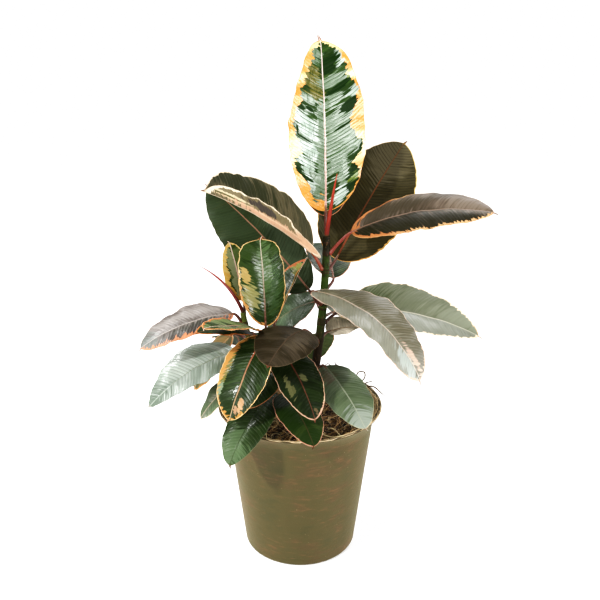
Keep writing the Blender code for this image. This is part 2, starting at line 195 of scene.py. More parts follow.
# How a leaf is coloured and shaped in detail. Colours are as they show on a screen, sizes in millimetres.
# ground, patch, patch_from, soft: the blade's two tones, the level of the noise where the second starts,
# and how soft the borders of patches are
# margin, warm, edge, edge_width: the pale band's two tones, and the thin line at the very edge
# jag, bands: how ragged the band's inner line is, and rows of share along the blade, the band's width on
# the left and right, and how warm it is
# rib, rib_tip, vein, vein_share: the midrib at its foot and tip, and the side veins and their strength
# petiole, under: the petiole at the stem, and the tone that the underside leans to and how far
# rough, shine: roughness and plain shine
# gloss, wet_from, pale_gloss, coat_rough, coat_ior: the wet film, and whether it lies where a noise passes
# a level or on the pale patches
# pucker, wave, dimple: heights of the puckers and the margin's ripple, and how strong the dimples are
# spots: place along and across the blade, half length, half width and colour
# blisters: place along and across the blade, half length, half width and height
Look = namedtuple("Look", (
    "ground patch patch_from soft margin warm edge edge_width jag bands "
    "rib rib_tip vein vein_share petiole under rough shine gloss wet_from pale_gloss coat_rough coat_ior "
    "pucker wave dimple spots blisters"))
GREEN = Look(
    ground=(28, 44, 14), patch=(46, 60, 26), patch_from=0.56, soft=0.05, margin=(206, 186, 132),
    warm=(190, 110, 64), edge=(176, 120, 86), edge_width=0.7, jag=1.6,
    bands=((0, 1.0, 1.0, 0.7), (1, 0.8, 0.8, 0.5)), rib=(112, 66, 44), rib_tip=(120, 96, 64),
    vein=(70, 86, 44), vein_share=0.16, petiole=(84, 40, 24), under=(150, 158, 118, 0.38), rough=0.3,
    shine=0.25, gloss=0.25, wet_from=0.42, pale_gloss=False, coat_rough=0.13, coat_ior=1.5, pucker=0.22,
    wave=1.6, dimple=6.0, spots=(), blisters=())
BROWN = GREEN._replace(
    ground=(54, 49, 27), patch=(76, 70, 46), patch_from=0.53, edge=(184, 146, 92), edge_width=0.6,
    rib=(112, 60, 38), rib_tip=(92, 66, 40), vein=(22, 18, 6), vein_share=0.75, rough=0.38, shine=0.08,
    gloss=0.0, soft=0.1, bands=((0, 0.8, 1.2, 0.4), (1, 0.8, 0.8, 0.3)))
GREY = GREEN._replace(
    ground=(70, 78, 54), patch=(90, 94, 76), patch_from=0.52, margin=(228, 208, 180),
    warm=(206, 156, 116), edge=(214, 186, 156), edge_width=0.9, rib=(176, 154, 132),
    rib_tip=(190, 174, 152), vein=(110, 114, 94), vein_share=0.25, rough=0.34, shine=0.3, gloss=0.4,
    soft=0.09, wave=2.4, bands=((0, 1.4, 1.4, 0.4), (1, 1.0, 1.0, 0.3)))
BRIGHT = GREEN._replace(
    ground=(44, 62, 22), patch=(74, 88, 42), patch_from=0.5, margin=(236, 212, 146), warm=(222, 150, 68),
    edge=(230, 192, 140), rib=(170, 96, 70), rib_tip=(222, 206, 190), vein=(96, 112, 66), rough=0.3,
    pucker=0.3, dimple=8.0, shine=0.12, gloss=1.0, soft=0.025, jag=2.6)

LOOKS = {
    "leaf_top": BRIGHT._replace(
        ground=(42, 62, 24), patch=(58, 80, 36), patch_from=0.54, rib=(186, 136, 120),
        rib_tip=(212, 198, 188), vein=(34, 56, 20), vein_share=0.8, rough=0.34, pucker=0.22, dimple=7.0,
        shine=0.08, pale_gloss=True, coat_rough=0.1, coat_ior=1.9, margin=(226, 206, 146),
        warm=(206, 138, 62), edge=(204, 140, 66), petiole=(80, 36, 22), jag=3.8, soft=0.04,
        bands=((0, 12, 2, 0.9), (0.09, 12, 2.5, 0.9), (0.14, 17, 2.5, 1.0), (0.19, 15, 3, 0.9),
               (0.24, 8, 3, 0.6), (0.28, 4, 14, 0.6), (0.33, 8, 9, 0.3), (0.36, 18, 5, 0.0),
               (0.41, 17, 4, 0.1), (0.45, 10, 16, 0.5), (0.51, 7, 19, 1.0), (0.57, 8, 17, 1.0),
               (0.62, 9, 12, 0.9), (0.65, 15, 9, 1.0), (0.7, 7, 3, 0.8), (0.74, 11, 3, 0.8),
               (0.78, 9, 11, 0.3), (0.83, 9, 5, 0.8), (0.88, 12, 8, 0.8), (0.94, 7, 3, 0.0),
               (1, 4, 4, 1.0)),
        # Spots in the silver tint are painted highlight, laid into the colour where the wet gloss shows its
        # reflection
        spots=((104, -22, 50, 30, PALE), (106, 28, 46, 22, PALE), (90, 6, 104, 9, PALE),
               (184, 15, 26, 17, OLIVE), (220, 10, 14, 11, PALE), (124, 30, 19, 15, PAINTED_GLOSS),
               (90, 26, 12, 13, PAINTED_GLOSS), (67, 28, 14, 12, PAINTED_GLOSS), (58, -26, 28, 8, PALE),
               (78, 40, 9, 7, PAINTED_GLOSS), (38, 14, 20, 12, PALE), (40, 24, 10, 6, PAINTED_GLOSS),
               (160, 26, 6, 14, PALE), (186, -16, 9, 24, PALE), (217, -27, 13, 14, PAINTED_GLOSS),
               (158, -14, 12, 14, PALE), (22, -17, 7, 13, PAINTED_GLOSS), (167, -46, 10, 10, PAINTED_GLOSS),
               (96, -50, 10, 8, PALE), (208, -10, 14, 14, DEEP), (176, -24, 5, 18, DEEP),
               (150, -38, 9, 13, DEEP), (120, -24, 1.8, 12, DEEP), (88, -56, 9, 6, DEEP),
               (60, -46, 14, 9, DEEP), (44, -42, 7, 9, LIME), (196, -42, 8, 7, LIME),
               (33, -36, 6, 11, DEEP), (150, 40, 4, 9, DEEP), (147, 24, 2.5, 6, DEEP),
               (106, 34, 1.6, 12, DEEP), (116, 44, 9, 1.6, DEEP), (60, 44, 6, 4, DEEP),
               (50, 32, 2.5, 9, DEEP), (44, 36, 4, 5, DEEP), (24, -22, 10, 10, PAINTED_GLOSS)),
        blisters=((217, -27, 13, 12, 2.8), (167, -46, 10, 10, 3.0), (124, 31, 20, 11, 1.7),
                  (124, 12, 22, 7, 0.8), (70, 32, 14, 10, 1.8), (70, 16, 16, 8, 1.0),
                  (92, 26, 10, 12, 0.9), (88, -50, 10, 9, 1.4), (60, -26, 26, 9, 1.0))),
    # The light spot near its tip is a painted sheen: the upper part of the blade lightened where the light
    # glances off it
    "leaf_back_right_high": BROWN._replace(
        patch=(62, 57, 36), spots=((186, 6, 50, 40, (84, 78, 58)),), margin=(206, 180, 112),
        warm=(176, 124, 66),
        bands=((0, 1.0, 1.2, 0.8), (0.2, 0.8, 3.0, 0.6), (0.45, 0.6, 2.0, 0.3), (1, 0.6, 1.0, 0.2))),
    "leaf_right_high": BROWN._replace(
        ground=(70, 60, 46), patch=(98, 86, 74), patch_from=0.5, vein=(50, 42, 28), vein_share=0.4,
        shine=0.14, rib=(120, 98, 80), rib_tip=(146, 130, 116), soft=0.16, petiole=(112, 40, 24), jag=3.6,
        warm=(164, 104, 62), margin=(204, 168, 122), edge=(184, 146, 104), edge_width=0.6,
        bands=((0, 8, 5, 1.0), (0.2, 7, 5.5, 0.8), (0.35, 2.5, 5.5, 0.5), (0.6, 0.8, 4.5, 0.4),
               (1, 0.8, 3, 0.4)),
        spots=((66, -28, 74, 27, (34, 32, 12)), (158, -24, 66, 24, (36, 33, 14)),
               # The light pinkish-grey spot towards the tip on the upper half is partly the leaf's tone and
               # partly a painted highlight
               (60, 20, 50, 16, (62, 54, 38)), (176, 16, 40, 22, (114, 102, 90)))),
    "leaf_left_high": GREY._replace(
        ground=(66, 64, 46), patch=(84, 78, 58), margin=(226, 208, 180), warm=(206, 166, 134), soft=0.06,
        edge=(226, 208, 182), edge_width=1.1, petiole=(122, 58, 38), vein_share=0.15, jag=4.0, shine=0.2,
        gloss=0.0, under=(150, 130, 104, 0.1),
        bands=((0, 24, 1.0, 1.0), (0.15, 12, 1.0, 1.0), (0.3, 3, 1.0, 0.3), (0.6, 2, 1.2, 0.2),
               (0.72, 4, 1.2, 0.1), (0.84, 9, 1.6, 0.1), (0.95, 8, 2.0, 0.1), (1, 4, 2.0, 0.1)),
        spots=((92, 24, 110, 34, (110, 100, 76)), (150, 22, 40, 4, (206, 190, 154)),
               (138, 12, 34, 4, (198, 176, 138)), (156, 16, 30, 3, (78, 76, 48)),
               (56, 7, 84, 11, (190, 148, 120)), (60, 12, 60, 2, (208, 174, 142)),
               (100, 30, 24, 11, (64, 58, 54)), (132, -36, 56, 14, (48, 50, 30)))),
    "leaf_back_left_high": GREEN._replace(
        ground=(36, 46, 20), patch=(52, 60, 32), shine=0.1, gloss=0.0, rough=0.36, rib=(140, 104, 86),
        rib_tip=(120, 92, 68), vein=(20, 30, 8), vein_share=0.4, soft=0.16, edge=(66, 58, 34),
        edge_width=0.5, bands=((0, 0, 0, 0.5), (1, 0, 0, 0.5)),
        spots=((76, -10, 60, 36, (70, 82, 60)), (150, 20, 60, 30, (46, 58, 34)))),
    "leaf_front_right": GREY._replace(
        ground=(84, 82, 64), patch=(102, 99, 84), margin=(186, 166, 146), warm=(178, 142, 120), jag=3.4,
        wave=1.7, vein=(130, 125, 108), vein_share=0.4, rib=(150, 134, 116), rib_tip=(188, 170, 152),
        edge=(198, 178, 158), edge_width=0.6, gloss=0.5,
        bands=((0, 1.0, 1.2, 0.5), (0.7, 1.2, 1.4, 0.5), (0.88, 3, 2.4, 0.4), (1, 2, 4, 0.3)),
        spots=((110, 26, 120, 24, (78, 74, 57)), (110, -26, 120, 24, (112, 112, 98)),
               # The bluish-grey spot near the tip is a painted highlight, the gloss of the tip laid into
               # its colour
               (186, -12, 26, 15, (150, 156, 150)), (184, 8, 24, 5, (176, 152, 134)))),
    "leaf_right_middle": GREY._replace(
        ground=(78, 83, 65), patch=(98, 101, 85), wave=1.6, petiole=(66, 34, 20), rib=(150, 144, 124),
        rib_tip=(176, 172, 154), jag=3.4, soft=0.14, edge=(196, 182, 154), edge_width=0.6,
        bands=((0, 1, 2, 0.4), (0.3, 1.5, 2, 0.3), (0.6, 2, 2.4, 0.2), (0.85, 4, 3, 0.1), (1, 3, 3, 0.6)),
        spots=((100, 27, 130, 24, (92, 96, 78)), (30, 24, 40, 22, (66, 73, 48)),
               (190, 16, 50, 20, (112, 116, 98)), (110, -27, 120, 24, (104, 107, 93)))),
    "leaf_back_middle": GREEN._replace(edge=(196, 156, 132)),
    "leaf_front_middle": BROWN._replace(
        ground=(44, 37, 22), patch=(62, 54, 40), vein=(26, 20, 10), vein_share=0.5, rib=(78, 64, 48),
        rib_tip=(70, 58, 44), edge=(92, 80, 62), edge_width=0.5, bands=((0, 0, 0, 0.5), (1, 0, 0, 0.5)),
        spots=((40, 14, 44, 18, (78, 69, 54)),)),
    "leaf_back_right_low": GREY,
    # Its pale pinkish ground and patch are partly the leaf's own pink-grey and partly painted light:
    # lighter, to lift the leaf out of the shade of the leaf over it
    "leaf_back_right_middle": GREY._replace(
        ground=(176, 166, 150), patch=(202, 190, 174), vein=(116, 104, 90), vein_share=0.5, shine=0.2,
        gloss=0.0, edge=(70, 58, 44), edge_width=0.5, rib=(150, 130, 110),
        bands=((0, 0, 0, 0.5), (1, 0, 0, 0.5))),
    "leaf_back_left_middle": GREY._replace(
        ground=(50, 64, 40), patch=(70, 84, 64), edge=(120, 60, 40), margin=(150, 110, 84), shine=0.15,
        gloss=0.25, rib=(86, 78, 58), rib_tip=(100, 100, 80)),
    "leaf_front_right_low": GREY._replace(
        ground=(66, 78, 54), patch=(84, 95, 72), rib=(84, 90, 66), rib_tip=(150, 156, 138),
        margin=(190, 180, 150), vein=(110, 118, 96), vein_share=0.2, edge=(124, 130, 104), edge_width=0.5,
        soft=0.14, bands=((0, 0, 0, 0.5), (0.7, 0.2, 0.2, 0.3), (1, 1.2, 0.6, 0.4)),
        # The pale spot near the tip is a painted highlight
        spots=((120, 0, 24, 34, (132, 140, 128)), (26, -8, 14, 12, (74, 68, 48)))),
    "shoot_leaf_upright": BRIGHT._replace(
        ground=(30, 46, 14), patch=(44, 60, 24), rib=(84, 38, 22), rib_tip=(186, 178, 158),
        vein_share=0.1, margin=(206, 184, 132), warm=(184, 128, 72), edge=(190, 150, 104), dimple=13.0,
        rough=0.26, wet_from=0.42, coat_rough=0.13, coat_ior=1.9, pucker=0.36,
        bands=((0, 5, 1.6, 1.0), (0.2, 3, 1.2, 0.8), (0.5, 2.6, 0.8, 0.5), (0.8, 0.9, 0.8, 0.2),
               (1, 0.8, 0.8, 0.4)),
        spots=((45, 20, 24, 12, (126, 122, 80)), (74, 25, 14, 6, (156, 132, 82)),
               (60, -14, 40, 12, (50, 68, 38)), (88, -4, 34, 12, (66, 84, 50))),
        blisters=((58, -13, 13, 8, 1.5), (36, -12, 10, 8, 1.3), (80, -16, 11, 9, 1.5),
                  (100, -9, 10, 9, 1.0), (84, 12, 12, 9, 1.2), (104, 14, 9, 8, 1.0), (60, 12, 10, 7, 0.8),
                  (48, -22, 9, 6, 1.2))),
    "shoot_leaf_right": BRIGHT._replace(
        ground=(36, 54, 14), patch=(104, 104, 36), rough=0.36, gloss=0.3, under=(120, 104, 50, 0.12),
        margin=(176, 146, 70), warm=(150, 82, 50), edge=(160, 104, 70),
        bands=((0, 2, 4, 1.0), (0.4, 3, 5, 0.5), (0.7, 3, 5, 0.6), (1, 6, 7, 1.0))),
    "shoot_leaf_left": BRIGHT._replace(
        ground=(42, 60, 22), patch=(104, 116, 78), warm=(186, 108, 66), margin=(200, 148, 100), jag=2.4,
        bands=((0, 3, 4, 0.9), (0.6, 3, 4, 0.9), (1, 2.4, 2.4, 0.9))),
    "shoot_leaf_left_under": GREEN._replace(
        warm=(188, 108, 50), bands=((0, 4, 2, 0.9), (0.7, 3, 2, 0.9), (1, 2, 2, 0.9))),
    "shoot_leaf_front": BRIGHT._replace(
        ground=(28, 42, 12), patch=(42, 58, 26), patch_from=0.56, rib=(124, 44, 28),
        rib_tip=(176, 150, 118), vein=(96, 112, 74), vein_share=0.1, warm=(158, 112, 58),
        margin=(176, 148, 88), jag=6.0, pucker=0.26, coat_ior=1.7, gloss=0.8, wet_from=0.5,
        coat_rough=0.17,
        bands=((0, 1.0, 4, 1.0), (0.2, 0.8, 7, 0.9), (0.35, 0.8, 10, 0.8), (0.5, 0.8, 9, 0.6),
               (0.62, 0.8, 5, 0.5), (0.75, 1.2, 2, 0.5), (0.9, 3, 5, 0.8), (1, 3, 4, 1.0)),
        spots=((58, -30, 26, 5, (96, 92, 48)), (108, 12, 11, 4, (160, 124, 88)),
               (114, 6, 6, 4, (140, 104, 74)), (92, -30, 12, 4, (110, 122, 98)))),
    "shoot_leaf_front_under": GREEN._replace(edge=(140, 84, 54)),
    "shoot_leaf_front_low": GREEN._replace(
        ground=(31, 46, 16), patch=(46, 62, 30), vein=(84, 98, 66), vein_share=0.35, rib=(30, 42, 14),
        rib_tip=(60, 74, 44), pucker=0.34, shine=0.15, gloss=0.5, coat_ior=1.8, coat_rough=0.1, rough=0.3,
        soft=0.1, edge=(80, 86, 56), edge_width=0.5, bands=((0, 0, 0, 0.6), (1, 0, 0, 0.4)),
        spots=((122, -8, 30, 26, (74, 90, 62)),)),
    "shoot_leaf_front_right": GREEN._replace(
        ground=(20, 30, 8), patch=(28, 40, 14), edge=(168, 138, 118), edge_width=0.5, shine=0.12,
        gloss=0.3, rib=(78, 42, 28), rib_tip=(84, 50, 34), warm=(170, 128, 106), margin=(196, 176, 140),
        vein_share=0.06,
        bands=((0, 1.0, 1.0, 0.8), (0.7, 1.2, 1.0, 0.6), (0.9, 2.6, 1.4, 0.7), (1, 2.0, 2.0, 0.9)),
        spots=((66, -21, 16, 4, (84, 84, 54)), (60, 7, 6, 6, (90, 90, 58)), (74, -16, 6, 3, (78, 78, 48)),
               (112, 6, 5, 3, (84, 72, 50)))),
    "shoot_leaf_front_lowest": GREEN._replace(
        ground=(32, 48, 16), patch=(46, 60, 26), edge=(168, 132, 112), edge_width=0.5, vein_share=0.08,
        warm=(170, 116, 96), rib=(50, 48, 24), rib_tip=(60, 56, 32), gloss=0.0, shine=0.08,
        bands=((0, 0.4, 0.9, 0.9), (1, 0.8, 1.2, 0.9))),
    "left_leaf_upright": BRIGHT._replace(
        margin=(208, 186, 122), warm=(192, 146, 70), gloss=0.6, spots=((40, 6, 40, 6, (126, 132, 96)),),
        bands=((0, 6, 1, 0.9), (0.5, 9, 1, 0.6), (0.8, 8, 1, 0.5), (1, 3, 3, 0.5))),
    "left_leaf_long": GREY._replace(
        ground=(84, 76, 70), patch=(108, 101, 95), vein=(150, 144, 140), vein_share=0.4,
        rib=(124, 112, 102), rib_tip=(168, 162, 154), shine=0.26, soft=0.12, margin=(186, 132, 98),
        warm=(164, 94, 56), edge=(196, 156, 128), edge_width=0.6, jag=7.0,
        bands=((0, 5, 0.4, 0.8), (0.2, 7, 0.4, 0.8), (0.5, 6.5, 0.4, 0.6), (0.8, 5, 0.4, 0.4),
               (1, 3, 0.4, 0.3)),
        spots=((60, 20, 76, 16, (46, 45, 34)), (84, 24, 50, 10, (38, 31, 20)),
               (38, 24, 20, 6, (52, 44, 30)), (60, -20, 60, 10, (130, 124, 118)),
               (136, 0, 20, 40, (96, 100, 94)))),
    # Its pale grey-mint ground and patch are partly the leaf's grey-green and partly painted sheen, the
    # white gloss that it shows laid into its colour; the darker spot near the tip has less of that sheen
    "left_leaf_low": GREY._replace(
        ground=(130, 140, 129), patch=(162, 170, 161), vein=(88, 102, 86), vein_share=0.6, pucker=0.42,
        rough=0.24, dimple=14.0, shine=0.32, gloss=0.6, wet_from=0.38, coat_rough=0.17, coat_ior=1.8,
        soft=0.12, rib=(116, 124, 104), rib_tip=(150, 160, 146), edge=(84, 98, 76), edge_width=0.7,
        bands=((0, 0, 0, 0.6), (1, 0, 0, 0.4)),
        spots=((140, 0, 30, 40, (92, 104, 90)), (20, 20, 30, 24, (112, 122, 108)))),
    "left_leaf_back_low": GREY._replace(
        ground=(84, 82, 48), patch=(120, 98, 56), patch_from=0.48, soft=0.04, rib=(150, 110, 70),
        margin=(200, 156, 96), warm=(176, 116, 58), vein=(60, 60, 30),
        bands=((0, 3, 3, 0.9), (0.5, 5, 5, 0.6), (1, 3, 3, 0.8))),
    "left_leaf_lowest": GREY._replace(ground=(84, 98, 72), patch=(150, 148, 138), patch_from=0.6),
}

# Factors on the width of a blade's left and right half along its length
EVEN = ((0, 1, 1), (1, 1, 1))
SIDES = {
    "leaf_top": ((0, 0.96, 1.06), (0.2, 0.96, 1.02), (0.5, 0.98, 1.0), (0.8, 0.84, 1.1),
                 (0.92, 0.9, 1.36), (0.97, 1.2, 1.4), (1, 1.7, 1.7)),
    "left_leaf_low": ((0, 1, 1), (0.3, 0.8, 1), (0.6, 0.64, 0.92), (0.8, 0.6, 0.84), (0.93, 0.52, 0.62),
                      (1, 1, 1)),
    "leaf_back_left_high": ((0, 1, 0.74), (0.2, 1, 0.74), (0.4, 1, 0.8), (0.6, 1, 0.9), (0.8, 1, 1),
                            (1, 1, 1)),
    "leaf_back_right_middle": ((0, 1, 0.9), (0.2, 1, 0.6), (0.4, 1, 0.35), (0.6, 1, 0.15), (1, 1, 0.1)),
    "shoot_leaf_right": ((0, 1, 1), (0.4, 1.2, 1.3), (0.8, 1.2, 1.3), (1, 1, 1)),
    "left_leaf_long": ((0, 0.8, 1), (0.3, 0.74, 1.06), (0.6, 0.8, 1), (1, 1, 1)),
    "shoot_leaf_upright": ((0, 0.78, 0.76), (0.3, 0.95, 0.88), (0.6, 1.02, 0.94), (0.8, 1.28, 1.18),
                           (0.9, 1.75, 1.6), (0.95, 2.4, 2.2), (0.985, 2.4, 2.2), (1, 1, 1)),
    "leaf_left_high": ((0, 0.62, 1), (0.2, 0.58, 1), (0.4, 0.8, 1), (0.6, 0.88, 1), (0.8, 1.2, 1.14),
                       (0.92, 1.8, 1.6), (0.97, 2.3, 2.1), (1, 1, 1)),
    "leaf_front_right": ((0, 0.3, 1), (0.1, 0.55, 1), (0.25, 0.92, 1), (0.4, 1.1, 1), (0.6, 1.1, 1.05),
                         (0.8, 1.18, 1.25), (0.92, 1.35, 1.5), (0.97, 1.3, 1.4), (1, 1, 1)),
    "leaf_right_middle": ((0, 1, 1), (0.12, 1.2, 0.95), (0.3, 1.22, 0.95), (0.5, 1.08, 1), (0.7, 1, 1),
                          (1, 1, 1)),
    "leaf_front_middle": ((0, 1, 1), (0.8, 1.06, 1.06), (0.94, 1.15, 1.15), (1, 1, 1)),
}

# How far a blade's left and right half run back past its base, in millimetres
LOBES = {"leaf_left_high": (17.0, 0.0)}

# A stem's old bark at its foot, its green and its young end, then the scars and the corky grain
BARK = {
    "main_stem": ((40, 29, 14), (42, 60, 10), (26, 24, 5)),
    "front_shoot_stem": ((80, 46, 28), (70, 64, 30), (96, 104, 44)),
    "left_shoot_stem": ((72, 46, 28), (70, 66, 32), (76, 84, 32)),
}
SCAR_BROWN, CORK_BROWN = (40, 26, 12), (104, 74, 44)
# A sheath's darker and brighter red, then its seam and its foot
SHEATH = {
    "main_bud_sheath": ((104, 26, 14), (160, 52, 28)),
    "left_bud_sheath": ((84, 20, 14), (134, 44, 34)),
}
SEAM_RED, SHEATH_FOOT = (84, 26, 16), (64, 52, 20)
# The pot's olive brown in three tones, then its rust, its specks, and a slightly lighter lip that is
# painted light, lifting the shade that falls on the lip's top
POT_TONES = ((73, 66, 35), (76, 64, 36), (68, 64, 34))
RUST, SPECK, PAINTED_LIP_LIGHT = (104, 76, 48), (118, 104, 76), (76, 64, 40)
MIX_TONES = ((34, 25, 13), (84, 66, 40))
RIM_FIBRE = (230, 204, 162)
RIM_FIBRES = 1500
LIP_SHARE = 0.03
WALL_CLEAR = 2.0 * MM


def heading(azimuth, rise):
    """Unit vectors for azimuths and rises in degrees."""
    turn, lift = np.broadcast_arrays(np.radians(azimuth), np.radians(rise))
    return np.stack([np.cos(lift) * np.cos(turn), np.cos(lift) * np.sin(turn), np.sin(lift)], axis=-1)


def unit(vectors):
    """Vectors divided by their lengths."""
    return vectors / np.linalg.norm(vectors, axis=-1, keepdims=True)


def stem_centre(stem, height):
    """The stem's centre line, upright at its foot, then leaning less and less by a power."""
    height = np.asarray(height, float)
    share = np.clip((height - FOOT_STRAIGHT) / (stem.tip[2] - FOOT_STRAIGHT), 0.0, 1.0)
    lean = 1.0 - (1.0 - share) ** stem.fade
    x = stem.foot[0] + (stem.tip[0] - stem.foot[0]) * lean
    y = stem.foot[1] + (stem.tip[1] - stem.foot[1]) * lean
    return np.stack([x * MM, y * MM, FILL_TOP + GAP + height * MM], axis=-1)


def stem_heading(stem, height):
    """The unit direction of the stem's centre line at a height."""
    return unit(stem_centre(stem, height) - stem_centre(stem, height - 1.0))


def stem_radius(stem, height):
    """An even taper from foot to tip, and a root flare that dies away just above the fill."""
    height = np.asarray(height, float)
    taper = stem.foot_radius + (stem.tip_radius - stem.foot_radius) * height / stem.tip[2]
    return (taper + stem.flare * np.exp(-height * MM / FLARE_FADE)) * MM


def blade_half_width(share, width):
    """The solid's outline, run smoothly into a drip tip that narrows to a point."""
    body = np.clip(share / (1.0 - DRIP_TIP_SHARE), 0.0, 1.0)
    outline = (body / WIDEST_AT) ** BASE_POWER * ((1.0 - body) / (1.0 - WIDEST_AT)) ** TIP_POWER
    fine = np.clip((share - 1.0) / (2.0 * DRIP_TIP_SHARE) + 1.0, 0.0, 1.0)
    return np.hypot(width / 2.0 * outline, DRIP_TIP_HALF_WIDTH * (1.0 - 0.75 * fine ** 2))


def petiole_line(leaf, count):
    """A quadratic curve from the stem's side to the blade's base, ending in line with the midrib."""
    stem = STEMS[leaf.stem]
    azimuth, rise, length = leaf.petiole
    axis = stem_centre(stem, leaf.height)
    along = stem_heading(stem, leaf.height)
    base = axis + heading(azimuth, rise) * length * MM
    lead = base - heading(*leaf.aim) * length * MM * PETIOLE_LEAD
    outward = heading(azimuth, 0.0)
    outward = unit(outward - along * (outward @ along))
    start = axis + outward * (stem_radius(stem, leaf.height) - 0.5 * MM)
    t = np.linspace(0.0, 1.0, count)[:, None]
    return (1.0 - t) ** 2 * start + 2.0 * t * (1.0 - t) * lead + t ** 2 * base


def midrib_line(leaf, count):
    """Points and headings along the midrib, whose rise and azimuth change evenly to the tip."""
    share = np.linspace(0.0, 1.0, count)
    middle = (share[1:] + share[:-1]) / 2.0
    droop, turn = leaf.bend
    step = heading(leaf.aim[0] + turn * middle, leaf.aim[1] - droop * middle)
    run = np.cumsum(step * leaf.size[0] * MM / (count - 1), axis=0)
    points = petiole_line(leaf, 2)[-1] + np.concatenate([np.zeros((1, 3)), run])
    return share, points, leaf.aim[0] + turn * share, leaf.aim[1] - droop * share


def wander(position, seed):
    """A slow uneven wave between about -1 and 1: three sines with lengths and starts from the seed."""
    draw = np.random.default_rng(seed)
    pitches = draw.uniform(0.7, 1.3, 3) * (1.0, 2.1, 3.7)
    starts = draw.uniform(0.0, 2.0 * np.pi, 3)
    return sum(np.sin(2.0 * np.pi * p * position + s) for p, s in zip(pitches, starts)) / 2.0


def blade_surface(name, leaf, share, across, seed):
    """The solid's middle surface on a grid: rows along the midrib, columns across it.

    Each half bends as an arc: it leaves the midrib at the fold and has turned by the curl at its
    margin, and the whole section is rolled about the midrib. The two halves may be a little fuller
    or slimmer than the solid's, by factors along the blade, or run back past its base in a lobe, and
    their outline wavers slightly. The drip tip hooks to one side.
    """
    knots = np.array(SIDES.get(name, EVEN), float)
    left, right = (np.interp(share, knots[:, 0], knots[:, k]) for k in (1, 2))
    left = left + OUTLINE_WAVER * wander(share * OUTLINE_WAVES, seed + 200)
    right = right + OUTLINE_WAVER * wander(share * OUTLINE_WAVES, seed + 300)
    stations, line, azimuths, rises = midrib_line(leaf, MIDRIB_STATIONS)
    centre = np.stack([np.interp(share, stations, line[:, k]) for k in range(3)], axis=-1)
    azimuth = np.interp(share, stations, azimuths)
    tangent = heading(azimuth, np.interp(share, stations, rises))
    level = heading(azimuth + 90.0, 0.0)
    up = np.cross(tangent, level)
    roll, fold, curl = (np.radians(angle) for angle in leaf.section)
    side = level * np.cos(roll) + up * np.sin(roll)
    normal = up * np.cos(roll) - level * np.sin(roll)
    fullness = np.where(across > 0, left[:, None], right[:, None])
    width = blade_half_width(share, leaf.size[1] * MM)[:, None] * fullness
    reach = np.abs(across)
    bend = max(curl, 1e-4)
    out = (np.sin(fold) - np.sin(fold - bend * reach)) / bend * np.sign(across)
    lift = (np.cos(fold - bend * reach) - np.cos(fold)) / bend
    lobe = np.where(across > 0, *LOBES.get(name, (0.0, 0.0))) * MM * reach ** 1.5
    lobe = lobe * np.exp(-(share[:, None] / LOBE_FADE) ** 2)
    centre = centre[:, None] - tangent[:, None] * lobe[..., None]
    hook = TIP_HOOK * np.clip((share - HOOK_FROM) / (1.0 - HOOK_FROM), 0.0, 1.0) ** 2
    hook = hook * np.sin(1.7 * seed + 0.4)
    place = centre + side[:, None] * (width * out + hook[:, None])[..., None]
    return place + normal[:, None] * (width * lift)[..., None], width


def skins(rings):
    """Closed skins over a batch of ring stacks, shaped (pieces, rings, points round, 3).

    Neighbouring rings are joined by quads, and a fan closes each end at the middle of its ring. Also
    gives for each face corner its share of the way round and of the way along.
    """
    pieces, count, around = rings.shape[:3]
    index = np.arange(pieces * count * around).reshape(pieces, count, around)
    ahead = np.roll(index, -1, axis=2)
    quads = np.stack([index[:, :-1], index[:, 1:], ahead[:, 1:], ahead[:, :-1]], axis=-1)
    pole = index.size + np.arange(2 * pieces).reshape(2, pieces, 1) + np.zeros((1, 1, around), int)
    first = np.stack([pole[0], index[:, 0], ahead[:, 0]], axis=-1)
    last = np.stack([index[:, -1], pole[1], ahead[:, -1]], axis=-1)
    places = np.concatenate([rings.reshape(-1, 3), rings[:, 0].mean(axis=1), rings[:, -1].mean(axis=1)])

    turn = np.arange(around) / around
    row = np.arange(count) / (count - 1)
    low = np.meshgrid(row[:-1], turn, indexing="ij")
    high = np.meshgrid(row[1:], turn + 1 / around, indexing="ij")
    corners = [(low[1], low[0]), (low[1], high[0]), (high[1], high[0]), (high[1], low[0])]
    quad_map = np.stack([np.stack(corner, axis=-1) for corner in corners], axis=-2)
    quad_map = np.broadcast_to(quad_map, (pieces, *quad_map.shape))
    middle, after = turn + 0.5 / around, turn + 1 / around
    fan_maps = []
    for ways, end in (((middle, turn, after), 0.0), ((turn, middle, after), 1.0)):
        fan = np.stack([np.stack([way, np.full(around, end)], axis=-1) for way in ways], axis=-2)
        fan_maps.append(np.broadcast_to(fan, (pieces, *fan.shape)).reshape(-1, 3, 2))
    fans = np.concatenate([first.reshape(-1, 3), last.reshape(-1, 3)])
    return places, quads.reshape(-1, 4), fans, quad_map.reshape(-1, 4, 2), np.concatenate(fan_maps)


def spread(values):
    """Values of one stack's ring points, with the mean of its first and last ring for the two poles."""
    return np.concatenate([values.reshape(-1, values.shape[-1]), values[[0, -1]].mean(axis=1)])


def tube_rings(points, radii, reference, around):
    """Circles round a line, turned so they start from a reference direction that never lies along it."""
    along = unit(np.gradient(points, axis=-2))
    first = unit(np.cross(np.broadcast_to(reference, along.shape), along))
    second = np.cross(first, along)
    turn = 2.0 * np.pi * np.arange(around) / around
    ring = np.cos(turn)[:, None] * first[..., None, :] + np.sin(turn)[:, None] * second[..., None, :]
    if np.ndim(radii) < points.ndim:
        radii = radii[..., None]
    return points[..., None, :] + ring * radii[..., None]


